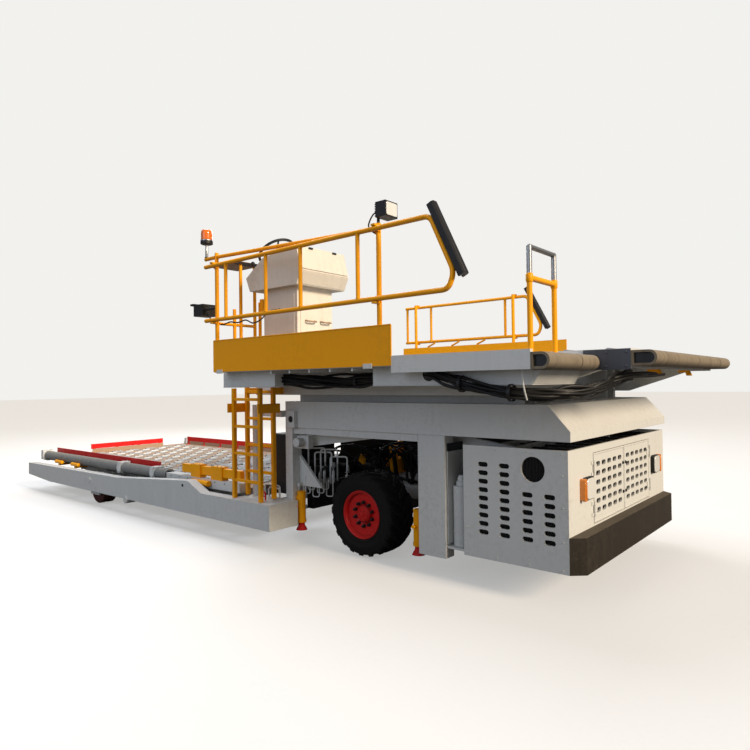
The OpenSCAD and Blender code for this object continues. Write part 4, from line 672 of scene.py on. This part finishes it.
bm = bmesh.new()
pipe(bm, [Vector((1.062, -1.856, 2.165)), Vector((3.323, -1.856, 2.165))], 0.007, 8)
for x in (1.06, 3.325):
    pipe(bm, [Vector((x, -1.856, 1.857)), Vector((x, -1.856, 2.165))], 0.006, 8)
for x, y in ((1.085, -1.83), (3.195, -1.83)):
    spin(bm, (x, y, 1.8905), (0, 0, 1), [(0, 0.03), (0.012, 0.024), (0.02, 0.021)], 24)
for y in (-1.80, -1.425):
    brick(bm, (4.375, 4.455), (y - 0.035, y + 0.035), (1.8905, 1.90))
    spin(bm, (4.43, y, 1.90), (0, 0, 1), [(0, 0.026), (0.01, 0.021), (0.016, 0.019)], 24)
    spin(bm, (4.43, y, 2.36), (0, 0, 1), [(0, 0.019), (0.01, 0.024), (0.05, 0.024), (0.06, 0.019)], 24)
for z in (2.37, 2.91):
    for x in (1.085, 3.195):
        brick(bm, (x - 0.024, x + 0.024), (-1.842, -1.8385), (z - 0.03, z + 0.03))
for x in (1.2, 1.6, 2.0):
    pipe(bm, [Vector((x, 1.625, 2.232)), Vector((x + 0.12, 1.632, 2.285))], 0.012, 8)
prism(bm, rounded(0, 0.05, 0, 0.16, 0.008, 3), (1.385, -1.535, 2.42), (1, 0, 0), (0, 0, 1), -0.03)
piece("toe_board_hem_and_collars", bm, "bridge", yellow)
bm = bmesh.new()
prism(bm, rounded(-1.85, -1.72, 3.01, 3.11, 0.014), (3.2905, 0, 0), (0, 1, 0), (0, 0, 1), 0.004)
prism(bm, rounded(-1.83, -1.68, 2.45, 2.55, 0.014), (0.684, 0, 0), (0, 1, 0), (0, 0, 1), -0.004)
piece("work_lamp_glass", bm, "bridge", glass, bevel_mm=1)
bm = bmesh.new()
for k in range(6):
    z = 3.012 + k * 0.018
    brick(bm, (3.178, 3.19), (-1.855, -1.715), (z, z + 0.006))
brick(bm, (0.64, 0.70), (-1.85, -1.66), (2.552, 2.572))
lead = [(3.185, -1.79, 3.07), (3.12, -1.80, 3.05), (3.08, -1.81, 2.98), (3.10, -1.82, 2.93), (3.166, -1.815, 2.88),
        (3.166, -1.815, 2.86)]
pipe(bm, smooth_path(lead, 6), 0.006, 8)
pipe(bm, [Vector((3.166, -1.815, 2.86)), Vector((3.166, -1.815, 1.9))], 0.006, 8)
lead = [(0.84, -1.78, 2.47), (0.92, -1.79, 2.40), (1.03, -1.795, 2.35), (1.15, -1.80, 2.33), (1.26, -1.80, 2.345),
        (1.38, -1.80, 2.33), (1.50, -1.80, 2.345), (1.60, -1.79, 2.31), (1.68, -1.76, 2.34), (1.70, -1.68, 2.42),
        (1.66, -1.51, 2.46)]
pipe(bm, smooth_path(lead, 6), 0.007, 8)
piece("lamp_fins_and_cables", bm, "bridge", plastic)
bm = bmesh.new()
spin(bm, (0.915, -1.83, 3.202), (0, 0, 1),
     [(0, 0.055), (0.012, 0.058), (0.024, 0.055), (0.036, 0.058), (0.048, 0.055), (0.06, 0.058), (0.072, 0.055),
      (0.09, 0.054), (0.102, 0.044), (0.108, 0.02)], 40)
piece("beacon_lens", bm, "bridge", beacon_amber, ["beacon"])
bm = bmesh.new()
spin(bm, (0.915, -1.83, 3.150), (0, 0, 1), [(0, 0.02), (0.006, 0.05), (0.012, 0.062), (0.036, 0.062), (0.04, 0.058)],
     36)
piece("beacon_base", bm, "bridge", plastic)
bm = bmesh.new()
spin(bm, (0.915, -1.83, 3.19), (0, 0, 1), [(0, 0.05), (0, 0.061), (0.011, 0.061), (0.011, 0.05)], 36, True)
spin(bm, (0.915, -1.83, 3.024), (0, 0, 1), [(0, 0.024), (0.01, 0.016), (0.12, 0.014), (0.126, 0.014)], 20)
piece("beacon_ring_and_pole", bm, "bridge", steel)
bm = bmesh.new()
# The lid leans back from its foot on the console's front edge, and the skirt below leans in.
slope, face = Vector((-0.2425, 0, 0.9701)), Vector((0.9701, 0, 0.2425))
foot = Vector((2.05, 0, 2.79))
prism(bm, rounded(-1.572, -0.958, 0.012, 0.238, 0.01), foot + face * 0.0005, (0, 1, 0), slope, 0.010)
lower = Vector((-0.4191, 0, -0.908))
prism(bm, rounded(-1.572, -0.958, 0.012, 0.132, 0.01), foot + Vector((0.9, 0, -0.42)) * 0.0005, (0, 1, 0), lower,
      -0.004)
prism(bm, rounded(-1.46, -1.07, 1.95, 2.60, 0.012), (1.9005, 0, 0), (0, 1, 0), (0, 0, 1), 0.005)
prism(bm, rounded(1.45, 1.86, 1.95, 2.60, 0.012), (0, -1.5005, 0), (1, 0, 0), (0, 0, 1), 0.004)
piece("console_lid_and_panels", bm, "bridge", cream, bevel_mm=1.5)
bm = bmesh.new()
for y in (-1.42, -1.10):
    prism(bm, rounded(y - 0.026, y + 0.026, 0.219, 0.236, 0.004, 3), foot + face * 0.0107, (0, 1, 0), slope, 0.012)
rise, out = Vector((0.837, 0, 0.5473)), Vector((-0.5473, 0, 0.837))
desk = Vector((1.24, 0, 2.80))
prism(bm, rounded(-1.56, -0.97, 0.02, 0.18, 0.012), desk + out * 0.0005, (0, 1, 0), rise, -0.006)
for k in range(9):
    spin(bm, desk + rise * (0.05 + 0.06 * (k % 2)) + out * 0.0065 + Vector((0, -1.53 + 0.065 * k, 0)), out,
         [(0, 0.012), (0.01, 0.012), (0.014, 0.008)], 16)
for y in (-1.50, -1.04):
    at = desk + rise * 0.09 + Vector((0, y, 0))
    spin(bm, at + out * 0.0065, out,
         [(0, 0.035), (0.012, 0.03), (0.02, 0.012), (0.10, 0.009), (0.104, 0.018), (0.14, 0.02), (0.15, 0.012)], 20)
piece("console_controls", bm, "bridge", plastic, bevel_mm=1)
bm = bmesh.new()
brick(bm, (0.76, 1.13), (-1.688, -1.332), (2.9915, 2.997))
brick(bm, (0.76, 1.06), (-1.688, -1.332), (2.971, 2.9745))
piece("tray_board", bm, "bridge", tan)
bm = bmesh.new()
for y in (-1.40, -1.20):
    pipe(bm, bent_path([(1.906, y, 2.34), (1.945, y, 2.33), (1.945, y + 0.12, 2.33), (1.906, y + 0.12, 2.34)], 0.02),
         0.008, 8)
piece("console_grab_loops", bm, "bridge", tan)

# Sliding guard rails: one bent steel tube each, with welded uprights and plugged ends, sliding in
# hooks on the fixed rails. A grooved rubber pad is bolted along the sloped nose.
dress(yellow, "rail_loop_r", "rail_loop_l")
dress(plastic, "rail_pad_r", "rail_pad_l")
for name, y, x0, x1, top, low, posts in (("right", -1.88, 0.965, 3.71, 2.91, 2.37, (1.3, 1.9, 2.36, 3.02)),
                                         ("left", 1.671, 0.79, 2.70, 2.81, 2.31, (0.81, 1.23, 2.4))):
    bm = bmesh.new()
    loop = [(x0, y, top), (x1 + 0.005, y, top), (x1 + 0.20, y, low + 0.12), (x1 + 0.155, y, low), (x0, y, low)]
    pipe(bm, bent_path(loop, 0.055, 8), 0.02, 16)
    for x in posts:
        pipe(bm, [Vector((x, y, low + 0.01)), Vector((x, y, top - 0.01))], 0.017, 14)
        for z, up in ((low + 0.017, 1), (top - 0.017, -1)):
            spin(bm, (x, y, z), (0, 0, up), [(0, 0.0195), (0.008, 0.0185), (0.012, 0.017)], 16)
    for z in (low, top):
        spin(bm, (x0 - 0.006, y, z), (1, 0, 0), [(0, 0.014), (0.002, 0.0185), (0.006, 0.02), (0.02, 0.02)], 20)
    piece("sliding_rail_" + name, bm, "rail_" + name, yellow, ["rail_loop_" + name[0]])
    bm = bmesh.new()
    along = (Vector((x1, y, top)) - Vector((x1 + 0.2, y, low + 0.12))).normalized()
    ahead = Vector((along.z, 0, -along.x))
    middle = Vector((x1 + 0.1, y, (top + low + 0.12) / 2))
    grooved = [(0.0212, -0.02), (0.066, -0.02), (0.0805, -0.006), (0.0805, 0.036), (0.066, 0.05), (0.0212, 0.05),
               (0.0212, 0.03), (0.052, 0.015), (0.0212, 0)]
    prism(bm, grooved, middle - along * 0.29, ahead, (0, 1, 0), 0.60)
    piece("rail_pad_" + name, bm, "rail_" + name, plastic, ["rail_pad_" + name[0]], bevel_mm=2)

# Ladders and jacks: the ladders are welded tube with ribbed treads and screwed joints. The jacks
# are steel legs in yellow sleeves, with collars, locking pins and red feet.
dress(yellow, "ladder_lower", "ladder_upper", "jack_sleeves")
dress(red, "jack_feet_rear", "jack_feet_front")
for name, y, body, rungs in (("lower", -1.31, "chassis", (0.68, 0.975, 1.27, 1.565)),
                             ("upper", -1.13, "bridge", (0.76, 1.055, 1.35, 1.645))):
    bm = bmesh.new()
    for z in rungs:
        for k in range(3):
            spin(bm, (0.67, y - 0.009 + 0.009 * k, z + 0.014), (1, 0, 0), [(0, 0.003), (0.40, 0.003)], 6)
        for x in (0.645, 1.095):
            spin(bm, (x, y - 0.02, z), (0, -1, 0), [(0, 0.012), (0.003, 0.011), (0.005, 0.006)], 14)
    piece("ladder_treads_" + name, bm, body, yellow)
jack_out, jack_x = 1.18, {"rear": 1.312, "front": 2.876}
bm = bmesh.new()
for s in (-1, 1):
    for x in jack_x.values():
        spin(bm, (x, MID + s * jack_out, 0.555), (0, 0, 1), [(0, 0.046), (0.004, 0.048), (0.012, 0.048), (0.016, 0.04)],
             28)
        spin(bm, (x, MID + s * jack_out, 0.236), (0, 0, 1),
             [(0, 0.0355), (0, 0.05), (0.03, 0.05), (0.03, 0.0455)], 28, True)
        spin(bm, (x, MID + s * 1.235, 0.42), (0, s, 0), [(0, 0.012), (0.02, 0.012), (0.024, 0.016), (0.032, 0.016)],
             16)
piece("jack_collars", bm, "chassis", yellow)
for name, x in jack_x.items():
    bm = bmesh.new()
    for s in (-1, 1):
        spin(bm, (x, MID + s * jack_out, 0.18), (0, 0, 1), [(0, 0.05), (0.008, 0.042), (0.02, 0.038), (0.024, 0.0345)],
             28)
        for k in range(4):
            q = math.pi / 4 + k * math.pi / 2
            bolt(bm, (x + 0.045 * math.cos(q), MID + s * jack_out + 0.045 * math.sin(q), 0.18), (0, 0, 1), 0.005)
    piece("jack_foot_collars_" + name, bm, "jacks_" + name, red)

# Scissor lifts: crossed arms of white box section, with bored bosses on steel pins. Each pin's
# end has a pressed steel cap.
dress(white, "lift_arms_outer", "lift_arms_inner", "bridge_arms_outer", "bridge_arms_inner")
for name, body, x, z, ahead, angle in (("main", "lift_outer", 0.40, 0.235, -1, 1.9),
                                       ("bridge", "bridge_outer", 1.35, 1.10, 1, 8.0)):
    bm = bmesh.new()
    length = 4.6 if ahead < 0 else 2.5
    for s in (-1, 1):
        for part in (0.5, 0.98):
            at = (x + ahead * length * part * math.cos(math.radians(angle)), MID + s * 1.0505,
                  z + length * part * math.sin(math.radians(angle)))
            spin(bm, at, (0, s, 0), [(0, 0.02), (0.0015, 0.018)], 20)
    piece("pin_caps_" + name, bm, body, steel)

# Studio: a pale sweep of floor, a warm key light from the front, a weak cool fill on the
# near side and a soft top light, so the front faces are brightest as in the photo. The floor
# looks pale but throws little light back, so the near side stays in shade.
mesh = bpy.data.meshes.new("pale_floor")
mesh.from_pydata([(-90, -60, 0), (90, -60, 0), (90, 90, 0), (-90, 90, 0)], [], [(0, 1, 2, 3)])
floor = bpy.data.objects.new("pale_floor", mesh)
bpy.context.scene.collection.objects.link(floor)
ground = finish_material("pale_studio_floor", "#c4c3c1", "#bebcb9", "#c0beba", 0.85, dusty=0.0, streaky=0.0,
                         grain_mm=4, relief=0.05)
mesh.materials.append(ground)
glow = ground.node_tree.nodes["Principled BSDF"]
glow.inputs["Emission Color"].default_value = lin("#f2f1ee")
glow.inputs["Emission Strength"].default_value = 0.42
dim = add(ground.node_tree, "BsdfDiffuse", Color=lin("#6d6a66"))
shown = add(ground.node_tree, "MixShader", [(add(ground.node_tree, "LightPath").outputs["Is Camera Ray"], 0),
                                            (dim.outputs[0], 1), (glow.outputs[0], 2)])
ground.node_tree.links.new(shown.outputs[0], ground.node_tree.nodes["Material Output"].inputs["Surface"])
for name, place, aim, size, power, tint in (("key", (20, 0, 9), (2.5, 0, 1), 0, 4.1, "#ffebd0"),
                                            ("fill", (0, -15, 6), (0, 0, 1), 8, 400, "#cfdef5"),
                                            ("rim", (-9, 9, 9), (0, 0, 1), 6, 700, "#ffffff"),
                                            ("top", (-2, 0, 13), (-1, 0, 0), 9, 1100, "#f3f6ff")):
    lamp = bpy.data.lights.new(name, "AREA" if size else "SUN")
    lamp.energy = power
    if size:
        lamp.size = size
    else:
        lamp.angle = math.radians(18)
    lamp.color = lin(tint)[:3]
    obj = bpy.data.objects.new(name, lamp)
    obj.location = place
    obj.rotation_euler = (Vector(aim) - Vector(place)).to_track_quat("-Z", "Y").to_euler()
    bpy.context.scene.collection.objects.link(obj)
world = bpy.data.worlds.new("studio")
bpy.context.scene.world = world
world.use_nodes = True
sky = world.node_tree
back = sky.nodes["Background"]
back.inputs["Color"].default_value = lin("#e6ecf5")
back.inputs["Strength"].default_value = 0.34
seen = add(sky, "Background", Color=lin("#f2f1ee"), Strength=1.0)
pick = add(sky, "MixShader",
           [(add(sky, "LightPath").outputs["Is Camera Ray"], 0), (back.outputs[0], 1), (seen.outputs[0], 2)])
sky.links.new(pick.outputs[0], sky.nodes["World Output"].inputs["Surface"])
bpy.context.scene.view_settings.view_transform = "Standard"

# Camera at the place and height that the photo was taken from, with the turn, tilt and roll that
# the loader's straight edges give.
yaw, pitch, roll = math.radians(40.35), math.radians(0.83), math.radians(-0.704)
ahead = Vector((-math.sin(yaw) * math.cos(pitch), math.cos(yaw) * math.cos(pitch), math.sin(pitch)))
side = Vector((math.cos(yaw), math.sin(yaw), 0))
over = side.cross(ahead)
side2 = math.cos(roll) * side + math.sin(roll) * over
over2 = -math.sin(roll) * side + math.cos(roll) * over
cam = bpy.data.cameras.new("photo_camera")
cam.lens = 28.97
cam.sensor_width = 36
view = bpy.data.objects.new("photo_camera", cam)
view.matrix_world = Matrix(((side2.x, over2.x, -ahead.x, 6.175), (side2.y, over2.y, -ahead.y, -5.40),
                            (side2.z, over2.z, -ahead.z, 1.72), (0, 0, 0, 1)))
bpy.context.scene.collection.objects.link(view)
bpy.context.scene.camera = view
